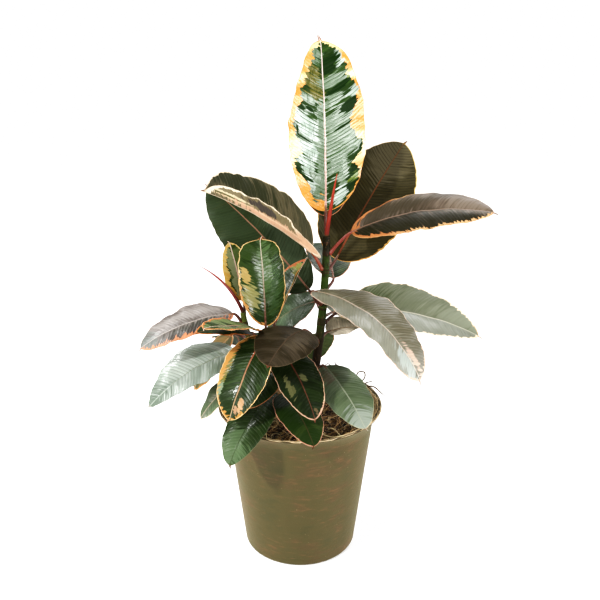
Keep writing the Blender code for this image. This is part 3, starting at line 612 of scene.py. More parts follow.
def add_piece(name, parts, finishes, values=None):
    """One object from skins: each part is its skin, its finish's number per quad and its map's window."""
    places, faces, maps, finish_of = [], [], [], []
    count = 0
    for (points, quads, fans, quad_map, fan_map), finish, window in parts:
        low, size = np.array(window[:2]), np.array(window[2:]) - window[:2]
        faces += (quads + count).tolist() + (fans + count).tolist()
        maps += [(quad_map * size + low).reshape(-1, 2), (fan_map * size + low).reshape(-1, 2)]
        finish_of += [np.broadcast_to(finish, len(quads)), np.full(len(fans), np.min(finish))]
        places.append(points)
        count += len(points)
    mesh = bpy.data.meshes.new(name)
    mesh.from_pydata(np.concatenate(places).tolist(), [], faces)
    mesh.polygons.foreach_set("use_smooth", np.ones(len(faces), bool))
    mesh.polygons.foreach_set("material_index", np.concatenate(finish_of).astype(np.int32))
    flat = mesh.uv_layers.new(name="OFBake")
    flat.data.foreach_set("uv", np.concatenate(maps).astype(np.float32).ravel())
    for key, value in (values or {}).items():
        layer = mesh.attributes.new(key, "FLOAT_VECTOR", "POINT")
        layer.data.foreach_set("vector", value.astype(np.float32).ravel())
    for finish in finishes:
        mesh.materials.append(finish)
    mesh.validate()
    piece = bpy.data.objects.new(name, mesh)
    bpy.context.scene.collection.objects.link(piece)
    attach(piece, BODY)
    return piece


def only(rings):
    """A batch of ring stacks as a piece's only part: one finish, and the whole of the map."""
    return [(skins(rings), np.array(0), (0.0, 0.0, 1.0, 1.0))]


def leaf_lift(look, seed, along, sideways, vein, reach, body):
    """How far a blade rises off its middle surface: puckers between the lateral veins, largest halfway
    to the margin, a ripple that grows towards the margin, a slow sway of the whole, and blisters."""
    hump = np.cos(2.0 * np.pi * (vein / PUCKER_SPACING + 0.4 * wander(along / PUCKER_SHIFT, seed)))
    hump = hump * (0.7 + 0.3 * wander(vein / PUCKER_FADE, seed + 50))
    hump = hump * 4.0 * reach * (1.0 - reach) * body ** 0.5
    ripple = wander(along / RIPPLE_LENGTH + 0.6 * np.sign(sideways), seed + 90) * reach ** 3 * body
    sway = wander(along / SWAY_LENGTH, seed + 140) * body * (1.0 - 0.5 * reach)
    lift = hump * look.pucker * MM + ripple * look.wave * MM + sway * SWAY_HEIGHT
    for middle, aside_of, half_length, half_width, height in look.blisters:
        ahead = (along / MM - middle) / half_length
        out = (sideways / MM - aside_of) / half_width
        lift = lift + height * MM * np.clip(1.0 - ahead ** 2 - out ** 2, 0.0, 1.0) ** 1.5
    return lift


def leaf_petiole(leaf, points):
    """The petiole's rings: a slowly thinning tube, wider where it meets the stem."""
    run = np.linspace(0.0, 1.0, len(points))
    radii = PETIOLE_RADIUS * (1.0 - PETIOLE_THINS * run)
    radii = radii * (1.0 + PETIOLE_FOOT * np.exp(-(run / PETIOLE_FOOT_FADE) ** 2))
    return run, tube_rings(points, radii, heading(leaf.aim[0] + 90.0, 0.0), PETIOLE_AROUND)


def make_leaf(name, leaf, look, seed):
    """A thin blade with its relief, closed round its margin, and the petiole that runs into its ridge.

    Rows crowd towards both ends, columns towards the midrib and the margins. Both faces follow the
    middle surface plus its lift. The midrib is a low rib in a groove above and a round ridge below
    that thins to the tip.
    """
    length = leaf.size[0] * MM
    steps = np.linspace(0.0, 1.0, int(length / BLADE_ROW))
    share = steps - ROW_CROWDING * np.sin(2.0 * np.pi * steps) / (2.0 * np.pi)
    half = np.sin(np.pi / 2.0 * np.linspace(0.0, 1.0, BLADE_HALF_COLUMNS + 1) ** 1.4)
    across = np.concatenate([-half[:0:-1], half])
    surface, width = blade_surface(name, leaf, share, across, seed)
    up = unit(np.cross(np.gradient(surface, axis=0), np.gradient(surface, axis=1)))

    reach = np.abs(across)[None, :] + 0.0 * share[:, None]
    aside = reach * width
    along = share[:, None] * length + 0.0 * aside
    vein = along - VEIN_LEAN * aside - VEIN_CURVE * aside * reach ** 2 * 0.5
    signed = np.sign(across)[None, :] + 0.0 * share[:, None]
    body = np.clip(np.sin(np.pi * share), 0.0, 1.0)[:, None]
    lift = leaf_lift(look, seed, along, aside * signed, vein, reach, body)
    fade = 1.0 - 0.65 * share[:, None]
    groove = -GROOVE_DEEP * fade * np.exp(-(aside / GROOVE_HALF) ** 2)
    groove = groove + RIB_HIGH * fade * np.exp(-(aside / RIB_HALF) ** 2)
    ridge_radius = RIDGE_SHARE * RIDGE_RADIUS * fade
    ridge = ridge_radius * np.exp(-(aside / ridge_radius) ** 2)
    inside = np.clip(1.0 - reach ** 8, 0.0, 1.0)
    thick = BLADE_THICKNESS / 2.0 * (1.0 - 0.4 * reach) * np.sqrt(inside)
    top = surface + up * (lift + thick + groove * inside)[..., None]
    bottom = surface + up * (lift - thick - ridge * inside)[..., None]

    slope = np.gradient(width, share * length, axis=0)
    margin = (width - aside) / np.sqrt(1.0 + slope ** 2)
    ends = np.minimum(along, (1.0 - share[:, None]) * length + 0.0 * aside)
    margin = np.minimum(margin, ends * END_SHARE + END_START)
    knots = np.array(look.bands, float)
    band_left, band_right, warm = (np.interp(share, knots[:, 0], knots[:, k]) for k in (1, 2, 3))
    band = np.where(signed > 0, band_left[:, None], band_right[:, None]) * MM
    warm = warm[:, None] + 0.0 * band
    own = np.full_like(band, seed * 1.37) + 5.0 * (signed > 0)

    def closed(upper, lower):
        """Rows of the upper face that run on into the lower face, back from margin to margin."""
        return np.concatenate([upper, lower[:, -2:0:-1]], axis=1)

    blade = skins(closed(top, bottom)[None])
    blade_map = np.stack([aside * signed, along, vein], axis=-1)
    place_map = np.stack([margin, share[:, None] + 0.0 * band, own], axis=-1)
    band_map = np.stack([band, warm, 0.0 * band], axis=-1)

    stalk = petiole_line(leaf, PETIOLE_ROWS)
    into = int(np.searchsorted(share * length, PETIOLE_RUNS_UNDER))
    middle = len(across) // 2
    under = surface[1:into, middle] - up[1:into, middle] * np.linspace(0.4, 1.2, into - 1)[:, None] * MM
    points = np.concatenate([stalk, under])
    run, rings = leaf_petiole(leaf, points)
    petiole = skins(rings[None])
    stalk_place = np.broadcast_to(run[:, None], (len(points), PETIOLE_AROUND))
    stalk_place = np.stack([0.01 + 0.0 * stalk_place, stalk_place, 0.0 * stalk_place + seed], axis=-1)
    blank = np.zeros((len(petiole[0]), 3))

    ring_quads = 2 * (len(across) - 1)
    lower = np.arange(ring_quads) >= len(across) - 1
    sides = np.tile(lower.astype(int), len(share) - 1)
    parts = [(blade, sides, (0.0, 0.0, 1.0, 0.92)), (petiole, np.array(2), (0.0, 0.93, 1.0, 1.0))]
    values = {"blade": np.concatenate([spread(closed(blade_map, blade_map)), blank]),
              "place": np.concatenate([spread(closed(place_map, place_map)), spread(stalk_place)]),
              "band": np.concatenate([spread(closed(band_map, band_map)), blank])}
    finishes = [leaf_finish(name + "_top", look, False), leaf_finish(name + "_underside", look, True),
                petiole_finish(name + "_petiole", look)]
    piece = add_piece(name + "_veined", parts, finishes, values)
    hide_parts(name)


def shown(colour):
    """A colour as it shows on a screen, 0 to 255, as the linear values that a shader takes."""
    value = np.array(colour, float) / 255.0
    linear = np.where(value > 0.04045, ((value + 0.055) / 1.055) ** 2.4, value / 12.92)
    return (*linear.tolist(), 1.0)


class Finish:
    """A material under way: its shader, and short ways to add the nodes that feed it."""

    def __init__(self, name, **settings):
        self.material = bpy.data.materials.new(name)
        self.material.use_nodes = True
        self.tree = self.material.node_tree
        self.shader = self.tree.nodes["Principled BSDF"]
        for socket, value in settings.items():
            self.shader.inputs[socket.replace("_", " ")].default_value = value

    def node(self, kind, inputs=(), **settings):
        """One node with its settings, and a value or a link for each socket named."""
        made = self.tree.nodes.new(kind)
        for key, value in settings.items():
            setattr(made, key, value)
        for socket, value in inputs:
            self.feed(made.inputs[socket], value)
        return made

    def feed(self, socket, value):
        """A link where the value comes from a node, and else the value itself."""
        if isinstance(value, bpy.types.NodeSocket):
            self.tree.links.new(value, socket)
        else:
            socket.default_value = value

    def maths(self, operation, first, second=0.0, third=0.0):
        """One sum, such as PINGPONG, on up to three numbers."""
        inputs = ((0, first), (1, second), (2, third))
        return self.node("ShaderNodeMath", inputs, operation=operation).outputs[0]

    def plus(self, first, second):
        """The two numbers added."""
        return self.maths("ADD", first, second)

    def times(self, first, second):
        """The two numbers multiplied."""
        return self.maths("MULTIPLY", first, second)

    def linear(self, value, slope, start):
        """A straight line: the value multiplied by the slope, then the start added."""
        return self.maths("MULTIPLY_ADD", value, slope, start)

    def rise(self, value, low, high):
        """0 at low and 1 at high with soft ends. With low above high it falls."""
        inputs = (("Value", value), ("From Min", low), ("From Max", high))
        return self.node("ShaderNodeMapRange", inputs, interpolation_type="SMOOTHSTEP").outputs[0]

    def mix(self, share, first, second, blend="MIX"):
        """The first colour, and a share of the second over it."""
        inputs = ((0, share), (6, first), (7, second))
        return self.node("ShaderNodeMix", inputs, data_type="RGBA", blend_type=blend).outputs[2]

    def vector(self, x, y, z):
        """Three numbers as one vector."""
        return self.node("ShaderNodeCombineXYZ", ((0, x), (1, y), (2, z))).outputs[0]

    def split(self, vector):
        """A vector's three numbers."""
        return self.node("ShaderNodeSeparateXYZ", ((0, vector),)).outputs

    def values(self, name):
        """The three numbers of one of the piece's own attributes."""
        return self.split(self.node("ShaderNodeAttribute", attribute_name=name).outputs["Vector"])

    def noise(self, vector, scale=1.0, detail=2.0, roughness=0.5):
        """Soft noise round a half, laid out by a vector."""
        inputs = (("Vector", vector), ("Scale", scale), ("Detail", detail), ("Roughness", roughness))
        return self.node("ShaderNodeTexNoise", inputs).outputs[0]

    def position(self):
        """The point's own place in the piece, in metres."""
        return self.node("ShaderNodeTexCoord").outputs["Object"]

    def squeezed(self, factor):
        """The point's own place with its height multiplied, so a pattern lies flatter or stands longer."""
        inputs = (("Vector", self.position()), ("Scale", (1.0, 1.0, factor)))
        return self.node("ShaderNodeMapping", inputs).outputs[0]

    def bump(self, height, distance):
        """Fine relief, on the surface and on its wet film alike."""
        inputs = (("Height", height), ("Distance", distance), ("Strength", 1.0))
        normal = self.node("ShaderNodeBump", inputs).outputs[0]
        self.feed(self.shader.inputs["Normal"], normal)
        self.feed(self.shader.inputs["Coat Normal"], normal)

    def colour(self, value):
        """The shader's base colour."""
        self.feed(self.shader.inputs["Base Color"], value)


def leaf_finish(name, look, underside):
    """A leaf's patches (some of them painted highlight and sheen), lateral veins, ragged margin and midrib,
    all laid out along its own veins, with painted shade along the top leaf's creases.

    Patch borders come from noise stretched along the lateral veins. The margin is where the distance
    from the edge is less than its band, moved in and out by finer noise of the same kind.
    """
    finish = Finish(name, Specular_IOR_Level=UNDERSIDE_SHINE if underside else look.shine)
    x, along, vein = finish.values("blade")
    margin, share, own = finish.values("place")
    band, warm, _ = finish.values("band")
    aside = finish.maths("ABSOLUTE", x)

    def streaks(pitch_along, pitch_across, detail, roughness=0.5):
        """Noise drawn out along the side veins, by its two pitches."""
        place = finish.vector(finish.times(vein, 1.0 / pitch_along),
                              finish.times(aside, 1.0 / pitch_across), own)
        return finish.noise(place, 1.0, detail, roughness)

    broad = streaks(*BROAD_STREAKS)
    ragged = streaks(*RAGGED_STREAKS)
    fine = streaks(*FINE_STREAKS)
    *tone, part = look.under if underside else (0, 0, 0, 0.0)

    def shaded(tint):
        """A colour, moved a share of the way to the underside's tone."""
        return shown((1.0 - part) * np.array(tint, float) + part * np.array(tone, float))

    torn = finish.linear(ragged, 0.35, finish.plus(broad, -0.175))
    on_patch = finish.rise(torn, look.patch_from - look.soft, look.patch_from + look.soft)
    colour = finish.mix(on_patch, shaded(look.ground), shaded(look.patch))

    # Spots paint the leaf's own patches, and on a few leaves painted highlight and sheen as well
    for middle, aside_of, half_length, half_width, tint in look.spots:
        off = abs(aside_of) * MM
        at = middle * MM - VEIN_LEAN * off
        ahead = finish.linear(vein, 1000.0 / half_length, -at * 1000.0 / half_length)
        out = finish.linear(x, 1000.0 / half_width, -aside_of / half_width)
        away = finish.maths("SQRT", finish.plus(finish.times(ahead, ahead), finish.times(out, out)))
        away = finish.plus(away, finish.linear(ragged, 2.4, -1.2))
        away = finish.plus(away, finish.linear(fine, 1.0, -0.5))
        on_spot = finish.rise(away, 1.0 + 3.0 * look.soft, 1.0 - 3.0 * look.soft)
        colour = finish.mix(on_spot, colour, shaded(tint))

    line = finish.maths("PINGPONG", finish.linear(broad, 1.2 * MM, vein), VEIN_SPACING / 2.0)
    line_mask = finish.rise(line, VEIN_DARK_HALF, VEIN_DARK_HALF / 4.0)
    line_mask = finish.times(line_mask, finish.rise(ragged, 0.30, 0.55))
    hair = finish.maths("PINGPONG", vein, VEIN_SPACING / (2.0 * HAIR_VEINS))
    hair_mask = finish.rise(hair, 0.35 * MM, 0.0)
    colour = finish.mix(finish.times(line_mask, look.vein_share), colour, shaded(look.vein))
    hair_share = finish.times(hair_mask, look.vein_share * 0.3)
    colour = finish.mix(hair_share, colour, shaded(look.vein))

    if look.pale_gloss and not underside:
        # Painted shade: thin dark lines along the creases that cross the pale panels, where the creases
        # break up the reflection
        place = finish.vector(finish.times(x, 1.0 / CREASE_APART),
                              finish.times(along, 1.0 / CREASE_LONG), own)
        crease = finish.maths("ABSOLUTE", finish.plus(finish.noise(place, 1.0, 2.0), -0.5))
        crease_shade_mask = finish.times(finish.rise(crease, 0.026, 0.006), finish.rise(x, -6.0 * MM, 8.0 * MM))
        colour = finish.mix(finish.times(crease_shade_mask, 0.5), colour, shown(look.vein))
        mottle = finish.rise(finish.linear(fine, 0.6, finish.times(ragged, 0.5)), 0.48, 0.68)
        colour = finish.mix(mottle, colour, MOTTLE_TINT, "MULTIPLY")
        line_mask = finish.maths("MAXIMUM", line_mask, crease_shade_mask)

    reachable = finish.linear(broad, 0.8, 0.6)
    torn_edge = finish.linear(ragged, look.jag * 5.0 * MM, look.jag * -2.5 * MM)
    width = finish.linear(band, reachable, finish.times(torn_edge, finish.rise(band, 0.0, 4.0 * MM)))
    inside = finish.maths("SUBTRACT", margin, width)
    warmth = finish.linear(finish.maths("SUBTRACT", fine, broad), 0.7, warm)
    pale_band = finish.mix(finish.rise(warmth, 0.2, 0.8), shown(look.margin), shown(look.warm))
    on_band = finish.rise(inside, 0.35 * MM, -0.25 * MM)
    colour = finish.mix(on_band, colour, pale_band)
    uneven = finish.linear(ragged, -1.6 * MM, finish.plus(margin, 0.8 * MM))
    thin = finish.rise(uneven, (look.edge_width + 0.3) * MM, (look.edge_width - 0.3) * MM)
    colour = finish.mix(finish.times(thin, 0.85), colour, shown(look.edge))
    drip_tip = shown(np.multiply(DRIP_TIP_TINT, look.warm))
    colour = finish.mix(finish.rise(share, DRIP_TIP_FROM, DRIP_TIP_AT), colour, drip_tip)

    rib_width = finish.linear(share, -1.0 * MM, 1.5 * MM)
    rib = finish.rise(finish.maths("SUBTRACT", aside, rib_width), 0.35 * MM, -0.25 * MM)
    colour = finish.mix(rib, colour, finish.mix(share, shown(look.rib), shown(look.rib_tip)))
    shade = finish.linear(fine, 0.30, 0.85)
    colour = finish.mix(1.0, colour, finish.vector(shade, shade, shade), "MULTIPLY")
    finish.colour(colour)

    rough = look.rough + (0.25 if underside else 0.0)
    uneven = finish.linear(ragged, 0.12, finish.linear(broad, 0.16, rough - 0.14))
    uneven = finish.linear(on_band, 0.25, uneven)
    finish.feed(finish.shader.inputs["Roughness"], uneven)
    if look.gloss and not underside:
        grey = finish.node("ShaderNodeRGBToBW", ((0, colour),)).outputs[0]
        place = finish.vector(finish.times(vein, 26.0), finish.times(x, 40.0), own)
        wet = finish.rise(finish.noise(place, 1.0, 1.0), look.wet_from, look.wet_from + 0.14)
        if look.pale_gloss:
            wet = finish.rise(grey, 0.04, 0.18)
        lines = finish.linear(line_mask, -0.75, finish.linear(hair_mask, -0.4, 1.0))
        wet = finish.times(wet, finish.maths("MAXIMUM", lines, 0.0))
        dry_from, dry_at = (0.955, 0.975) if look.pale_gloss else (0.62, 0.92)
        wet = finish.times(wet, finish.rise(share, dry_at, dry_from))
        finish.feed(finish.shader.inputs["Coat Weight"], finish.times(wet, look.gloss))
        finish.shader.inputs["Coat Roughness"].default_value = look.coat_rough
        finish.shader.inputs["Coat IOR"].default_value = look.coat_ior
    bulge = finish.rise(line, 0.0, VEIN_SPACING / 2.0)
    place = finish.vector(finish.times(vein, 75.0), finish.times(aside, 60.0), own)
    dimple = finish.noise(place, 1.0, 1.0)
    relief = finish.times(bulge, finish.linear(broad, 2.4, -0.2))
    relief = finish.linear(line_mask, -1.6, finish.linear(hair_mask, -0.5, relief))
    relief = finish.linear(fine, 0.5, relief)
    relief = finish.linear(dimple, look.dimple, relief)
    finish.bump(relief, look.pucker * 0.35 * MM)
    return finish.material


def petiole_finish(name, look):
    """Its own colour at the stem, greener and paler towards the blade, with fine lengthwise streaks."""
    finish = Finish(name, Coat_Weight=0.1, Coat_Roughness=0.2)
    share = finish.values("place")[1]
    speckle = finish.noise(finish.position(), 900.0, 3.0)
    towards = finish.rise(finish.linear(speckle, 0.3, share), 0.55, 1.25)
    lighter = 0.55 * np.array(look.petiole) + 0.45 * np.array(STALK_GREEN)
    colour = finish.mix(towards, shown(look.petiole), shown(lighter))
    darker = shown(0.6 * np.array(look.petiole))
    finish.colour(finish.mix(finish.rise(speckle, 0.58, 0.75), colour, darker))
    finish.feed(finish.shader.inputs["Roughness"], finish.linear(speckle, 0.2, 0.3))
    finish.bump(speckle, 0.12 * MM)
    return finish.material


def make_stem(name, stem, seed):
    """The solid's tube with a swollen ring and a groove at each leaf, and shallow uneven bark.

    It starts a little inside the fill and ends in a quarter round.
    """
    below_tip = stem.tip[2] - 1.0
    heights = np.append(np.arange(STEM_START, below_tip, 1.0), below_tip)
    nodes = np.array([leaf.height for leaf in LEAVES.values() if STEMS[leaf.stem] is stem], float)
    near = heights[:, None] - nodes[None, :]
    swell = np.exp(-(np.abs(near) / SCAR_HALF_WIDTH) ** 2).max(axis=1)
    groove = np.exp(-((near - GROOVE_ABOVE) / GROOVE_HALF_WIDTH) ** 2).max(axis=1)
    radii = stem_radius(stem, np.maximum(heights, 0.0)) + (SCAR_HEIGHT * swell - GROOVE_DEPTH * groove) * MM
    dome = np.sin(np.linspace(0.0, np.pi / 2.0, 6))[1:]
    radii = np.append(radii, radii[-1] * (1.0 - 0.85 * dome ** 3))
    heights = np.append(heights, heights[-1] + dome)
    angle = 2.0 * np.pi * np.arange(STEM_AROUND)[None, :] / STEM_AROUND
    climb = heights[:, None]
    uneven = np.cos(3.0 * angle + climb / 40.0 + seed) + 0.6 * np.cos(2.0 * angle - climb / 25.0)
    radii = radii[:, None] * (1.0 + BARK_UNEVEN * uneven)
    rings = tube_rings(stem_centre(stem, heights), radii, (0.0, 1.0, 0.0), STEM_AROUND)
    swell = np.append(swell, np.zeros(len(dome)))
    place = np.stack([heights * MM, heights / stem.tip[2], swell], axis=-1)
    place = np.broadcast_to(place[:, None], (len(heights), STEM_AROUND, 3))
    bark = bark_finish(name + "_bark", BARK[name])
    piece = add_piece(name + "_ringed", only(rings[None]), [bark], {"place": spread(place)})
    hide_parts(name)


def bark_finish(name, colours):
    """Brown bark at the foot, green further up, and dark scars on the rings where leaves grow."""
    finish = Finish(name, Specular_IOR_Level=0.15)
    _, share, swell = finish.values("place")
    place = finish.position()
    blotch = finish.noise(place, 90.0, 4.0, 0.6)
    grain = finish.noise(finish.squeezed(0.25), 700.0, 3.0)
    old, green, young = (shown(colour) for colour in colours)
    climb = finish.linear(blotch, 0.5, finish.plus(share, -0.25))
    colour = finish.mix(finish.rise(climb, 0.36, 0.66), old, green)
    colour = finish.mix(finish.rise(climb, 0.80, 0.92), colour, young)
    scar = finish.rise(finish.linear(blotch, 0.5, swell), 0.7, 1.1)
    colour = finish.mix(finish.times(scar, 0.8), colour, shown(SCAR_BROWN))
    colour = finish.mix(finish.rise(grain, 0.60, 0.74), colour, shown(CORK_BROWN))
    finish.colour(colour)
    finish.feed(finish.shader.inputs["Roughness"], finish.linear(grain, 0.3, 0.35))
    finish.bump(finish.plus(grain, blotch), 0.35 * MM)
    return finish.material


def make_bud(name, bud):
    """The solid's bent spike as a rolled sheath: its radius steps once round, along a winding seam."""
    stem = STEMS[bud.stem]
    share = np.linspace(0.0, 1.0, BUD_ROWS)
    middle = (share[1:] + share[:-1]) / 2.0
    step = heading(bud.azimuth + bud.bend_azimuth * middle, bud.rise - bud.bend_rise * middle)
    run = np.cumsum(step * bud.length * BUD_REACH * MM / len(middle), axis=0)
    radii = BUD_TIP_RADIUS + (bud.radius * MM - BUD_TIP_RADIUS) * (1.0 - share ** BUD_TAPER_POWER)
    along = stem_heading(stem, stem.tip[2])
    start = stem_centre(stem, stem.tip[2]) - along * 0.5 * MM
    points = start + np.concatenate([np.zeros((1, 3)), run])
    turn = np.arange(BUD_AROUND)[None, :] / BUD_AROUND + SEAM_START + SEAM_TURNS * share[:, None]
    seam = np.mod(turn, 1.0)
    open_end = np.clip(6.0 * (1.0 - share[:, None]), 0.0, 1.0)
    radii = radii[:, None] * (SHEATH_SLIM + SEAM_STEP * seam * open_end)
    rings = tube_rings(points, radii, heading(bud.azimuth + 90.0, 0.0), BUD_AROUND)
    place = np.stack([np.abs(seam - 0.5), share[:, None] + 0.0 * seam, 0.0 * seam], axis=-1)
    red = sheath_finish(name + "_red", SHEATH[name])
    piece = add_piece(name + "_rolled", only(rings[None]), [red], {"place": spread(place)})
    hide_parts(name)


def sheath_finish(name, colours):
    """Dark red at its foot and along the seam, brighter towards the middle, with lengthwise veins."""
    finish = Finish(name, Coat_Weight=0.2, Coat_Roughness=0.15)
    seam, share, _ = finish.values("place")
    streak = finish.noise(finish.vector(finish.times(seam, 22.0), finish.times(share, 3.0), 0.0))
    tone = finish.linear(streak, 0.7, finish.linear(share, 0.5, -0.25))
    colour = finish.mix(finish.rise(tone, 0.1, 0.45), shown(colours[0]), shown(colours[1]))
    colour = finish.mix(finish.rise(seam, 0.44, 0.5), colour, shown(SEAM_RED))
    colour = finish.mix(finish.rise(share, 0.06, 0.0), colour, shown(SHEATH_FOOT))
    finish.colour(colour)
    finish.feed(finish.shader.inputs["Roughness"], finish.linear(streak, 0.2, 0.25))
    finish.bump(streak, 0.15 * MM)
    return finish.material


def pot_radius(height):
    """The outside of the wall: a straight cone that curves out to the rim near its top."""
    share = np.asarray(height, float) / POT_HEIGHT
    straight = BASE_RADIUS + WALL_SPREAD * share
    climb = np.clip((height - FLARE_START) / (POT_HEIGHT - FLARE_START), 0.0, 1.0)
    return straight + (RIM_RADIUS - BASE_RADIUS - WALL_SPREAD) * climb ** 2


def inner_radius(height):
    """The inside of the wall, which thins evenly to the lip over the flare."""
    climb = np.clip((height - FLARE_START) / (POT_HEIGHT - FLARE_START), 0.0, 1.0)
    return pot_radius(height) - WALL - (LIP - WALL) * climb


def turned_rings(radii, heights, around):
    """A profile carried round the axis, one ring of points for each pair of radius and height."""
    angle = 2.0 * np.pi * np.arange(around) / around
    x, y = (radii[:, None] * wave for wave in (np.cos(angle), np.sin(angle)))
    return np.stack([x, y, heights[:, None] + 0.0 * x], axis=-1)


def make_pot():
    """Up the inside from the floor, over the round lip, down the outside and in under the foot."""
    under_lip = POT_HEIGHT - LIP / 2
    flare = np.linspace(FLARE_START, under_lip, 16)
    inner = np.concatenate([np.linspace(FLOOR + 1e-4, FLARE_START, 40), flare[1:]])
    outer = np.concatenate([flare[:0:-1], np.linspace(FLARE_START, BASE_ROUND, 60)[:-1]])
    lip = np.linspace(0.0, np.pi, 11)[1:-1]
    corner = np.linspace(0.0, np.pi / 2, 8)
    corner_centre = pot_radius(BASE_ROUND) - BASE_ROUND
    radii = np.concatenate([[CENTRE_HOLE, inner_radius(FLOOR) - 1e-4], inner_radius(inner),
                            RIM_RADIUS - LIP / 2 - LIP / 2 * np.cos(lip), pot_radius(outer),
                            corner_centre + BASE_ROUND * np.cos(corner), [CENTRE_HOLE]])
    heights = np.concatenate([[FLOOR, FLOOR], inner, under_lip + LIP / 2 * np.sin(lip), outer,
                              BASE_ROUND * (1.0 - np.sin(corner)), [0.0]])
    rings = turned_rings(radii, heights, POT_AROUND)
    piece = add_piece("planter_wall", only(rings[None]), [planter_finish()])
    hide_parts("pot")


def planter_finish():
    """Matt olive-brown with soft rusty and greener patches, tiny pale specks and a sandy surface."""
    finish = Finish("planter_earthen", Sheen_Weight=0.26, Sheen_Roughness=0.4,
                    Sheen_Tint=(1.0, 0.86, 0.62, 1.0), Specular_IOR_Level=0.35)
    place = finish.position()
    level = finish.squeezed(2.2)
    cloud = finish.noise(level, 17.0, 3.0, 0.55)
    small = finish.noise(level, 60.0, 4.0, 0.6)
    sand = finish.noise(place, 900.0, 2.0)
    speck = finish.noise(place, 420.0, 0.0)
    both = finish.linear(small, 0.35, finish.plus(cloud, -0.175))
    colour = finish.mix(finish.rise(both, 0.50, 0.66), shown(POT_TONES[0]), shown(POT_TONES[1]))
    colour = finish.mix(finish.rise(both, 0.46, 0.32), colour, shown(POT_TONES[2]))
    rust = finish.linear(cloud, 0.35, finish.noise(finish.squeezed(5.0), 46.0, 4.0, 0.65))
    colour = finish.mix(finish.times(finish.rise(rust, 0.70, 0.95), 0.6), colour, shown(RUST))
    colour = finish.mix(finish.rise(speck, 0.84, 0.87), colour, shown(SPECK))
    # Painted light: the top of the lip is coloured a little lighter against the shade that the leaves cast
    # on it
    lip_light = finish.rise(finish.split(place)[2], POT_HEIGHT - 1.6 * MM, POT_HEIGHT - 0.6 * MM)
    colour = finish.mix(lip_light, colour, shown(PAINTED_LIP_LIGHT))
    shade = finish.linear(sand, 0.24, 0.88)
    finish.colour(finish.mix(1.0, colour, finish.vector(shade, shade, shade), "MULTIPLY"))
    finish.feed(finish.shader.inputs["Roughness"], finish.linear(small, 0.15, 0.50))
    finish.bump(finish.linear(small, 2.0, sand), 0.14 * MM)
    return finish.material


def fill_height(x, y):
    """The top of the fill: flat in the middle, lower at the wall, with hummocks."""
    away = np.hypot(x, y)
    slope = np.clip((away - FILL_FLAT_RADIUS) / (inner_radius(FILL_TOP) - FILL_FLAT_RADIUS), 0.0, 1.0)
    hummocks = np.sin(71.0 * x + 1.3) * np.cos(63.0 * y - 0.7) + 0.5 * np.sin(157.0 * x + 121.0 * y)
    return FILL_TOP - FILL_EDGE_DROP * slope + 0.9 * MM * hummocks


def make_fill():
    """From the top's middle out to the wall, down beside it and in along the floor."""
    top = np.linspace(0.002, 1.0, 70) * (inner_radius(FILL_TOP - FILL_EDGE_DROP) - GAP)
    edge = FILL_TOP - FILL_EDGE_DROP
    side = np.linspace(edge, FLOOR + GAP, 24)[1:]
    radii = np.concatenate([top, inner_radius(side) - GAP, [CENTRE_HOLE]])
    rings = turned_rings(radii, np.concatenate([0.0 * top, side, [FLOOR + GAP]]), FILL_AROUND)
    rings[:len(top), :, 2] = fill_height(rings[:len(top), :, 0], rings[:len(top), :, 1])
    piece = add_piece("fill_mix", only(rings[None]), [mix_finish()])
    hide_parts("fill")


def mix_finish():
    """Dark brown with paler lumps and a coarse relief."""
    finish = Finish("fill_mix_brown", Roughness=0.9)
    place = finish.position()
    lump = finish.noise(place, 260.0, 4.0, 0.7)
    colour = finish.mix(finish.rise(lump, 0.35, 0.65), shown(MIX_TONES[0]), shown(MIX_TONES[1]))
    finish.colour(colour)
    finish.bump(lump, 1.2 * MM)
    return finish.material


def add_loose(name, rings, colour, roughness):
    """Many small parts that have no solid, as one piece in one plain colour."""
    finish = Finish(name + "_plain", Base_Color=shown(colour), Roughness=roughness)
    add_piece(name, only(rings), [finish.material])


def strands(name, seed, count, length, radius, lift, wind, colour, wall):
    """Loose fibres in one piece. Each keeps turning by a small random angle as it runs, rises in an
    arc over the fill and thins to its ends. A share of them lies up against the wall."""
    draw = np.random.default_rng(seed)
    at_wall = draw.random(count) < wall
    near, anywhere = draw.uniform(0.80, 1.0, count), np.sqrt(draw.random(count)) * 0.9
    away = np.where(at_wall, near, anywhere)
    bearing = draw.uniform(0.0, 2.0 * np.pi, count)
    start = (away * inner_radius(FILL_TOP))[:, None] * np.stack([np.cos(bearing), np.sin(bearing)], axis=-1)
    aim = draw.uniform(0.0, 2.0 * np.pi, count)[:, None]
    aim = aim + np.cumsum(draw.normal(0.0, wind, (count, FIBRE_RINGS)), axis=1)
    aim = aim + draw.normal(0.0, 1.2, (count, 1)) * np.linspace(-0.5, 0.5, FIBRE_RINGS)
    stride = draw.uniform(*length, count)[:, None] * MM / (FIBRE_RINGS - 1)
    step = stride[..., None] * np.stack([np.cos(aim), np.sin(aim)], axis=-1)
    flat = start[:, None] + np.cumsum(step, axis=1)
    reach = np.linalg.norm(flat, axis=-1)
    room = inner_radius(FILL_TOP) - WALL_CLEAR
    flat = flat * np.minimum(1.0, room / reach)[..., None]
    run = np.linspace(0.0, 1.0, FIBRE_RINGS)
    arc = draw.uniform(0.0, 1.0, count)[:, None] ** 2 * lift * MM * np.sin(np.pi * run)
    climb = np.clip((reach / room - 0.93) / 0.12, 0.0, 1.0) * draw.uniform(0.0, 9.0, count)[:, None] * MM
    height = fill_height(flat[..., 0], flat[..., 1]) + arc + climb
    height = height + draw.uniform(0.0, 1.6, count)[:, None] * MM
    points = np.concatenate([flat, height[..., None]], axis=-1)
    thick = draw.uniform(*radius, count)[:, None] * MM * (1.0 - 0.75 * np.abs(2.0 * run - 1.0) ** 3)
    rings = tube_rings(points, thick, UPRIGHT, FIBRE_AROUND)
    add_loose(name, rings, colour, 0.75)


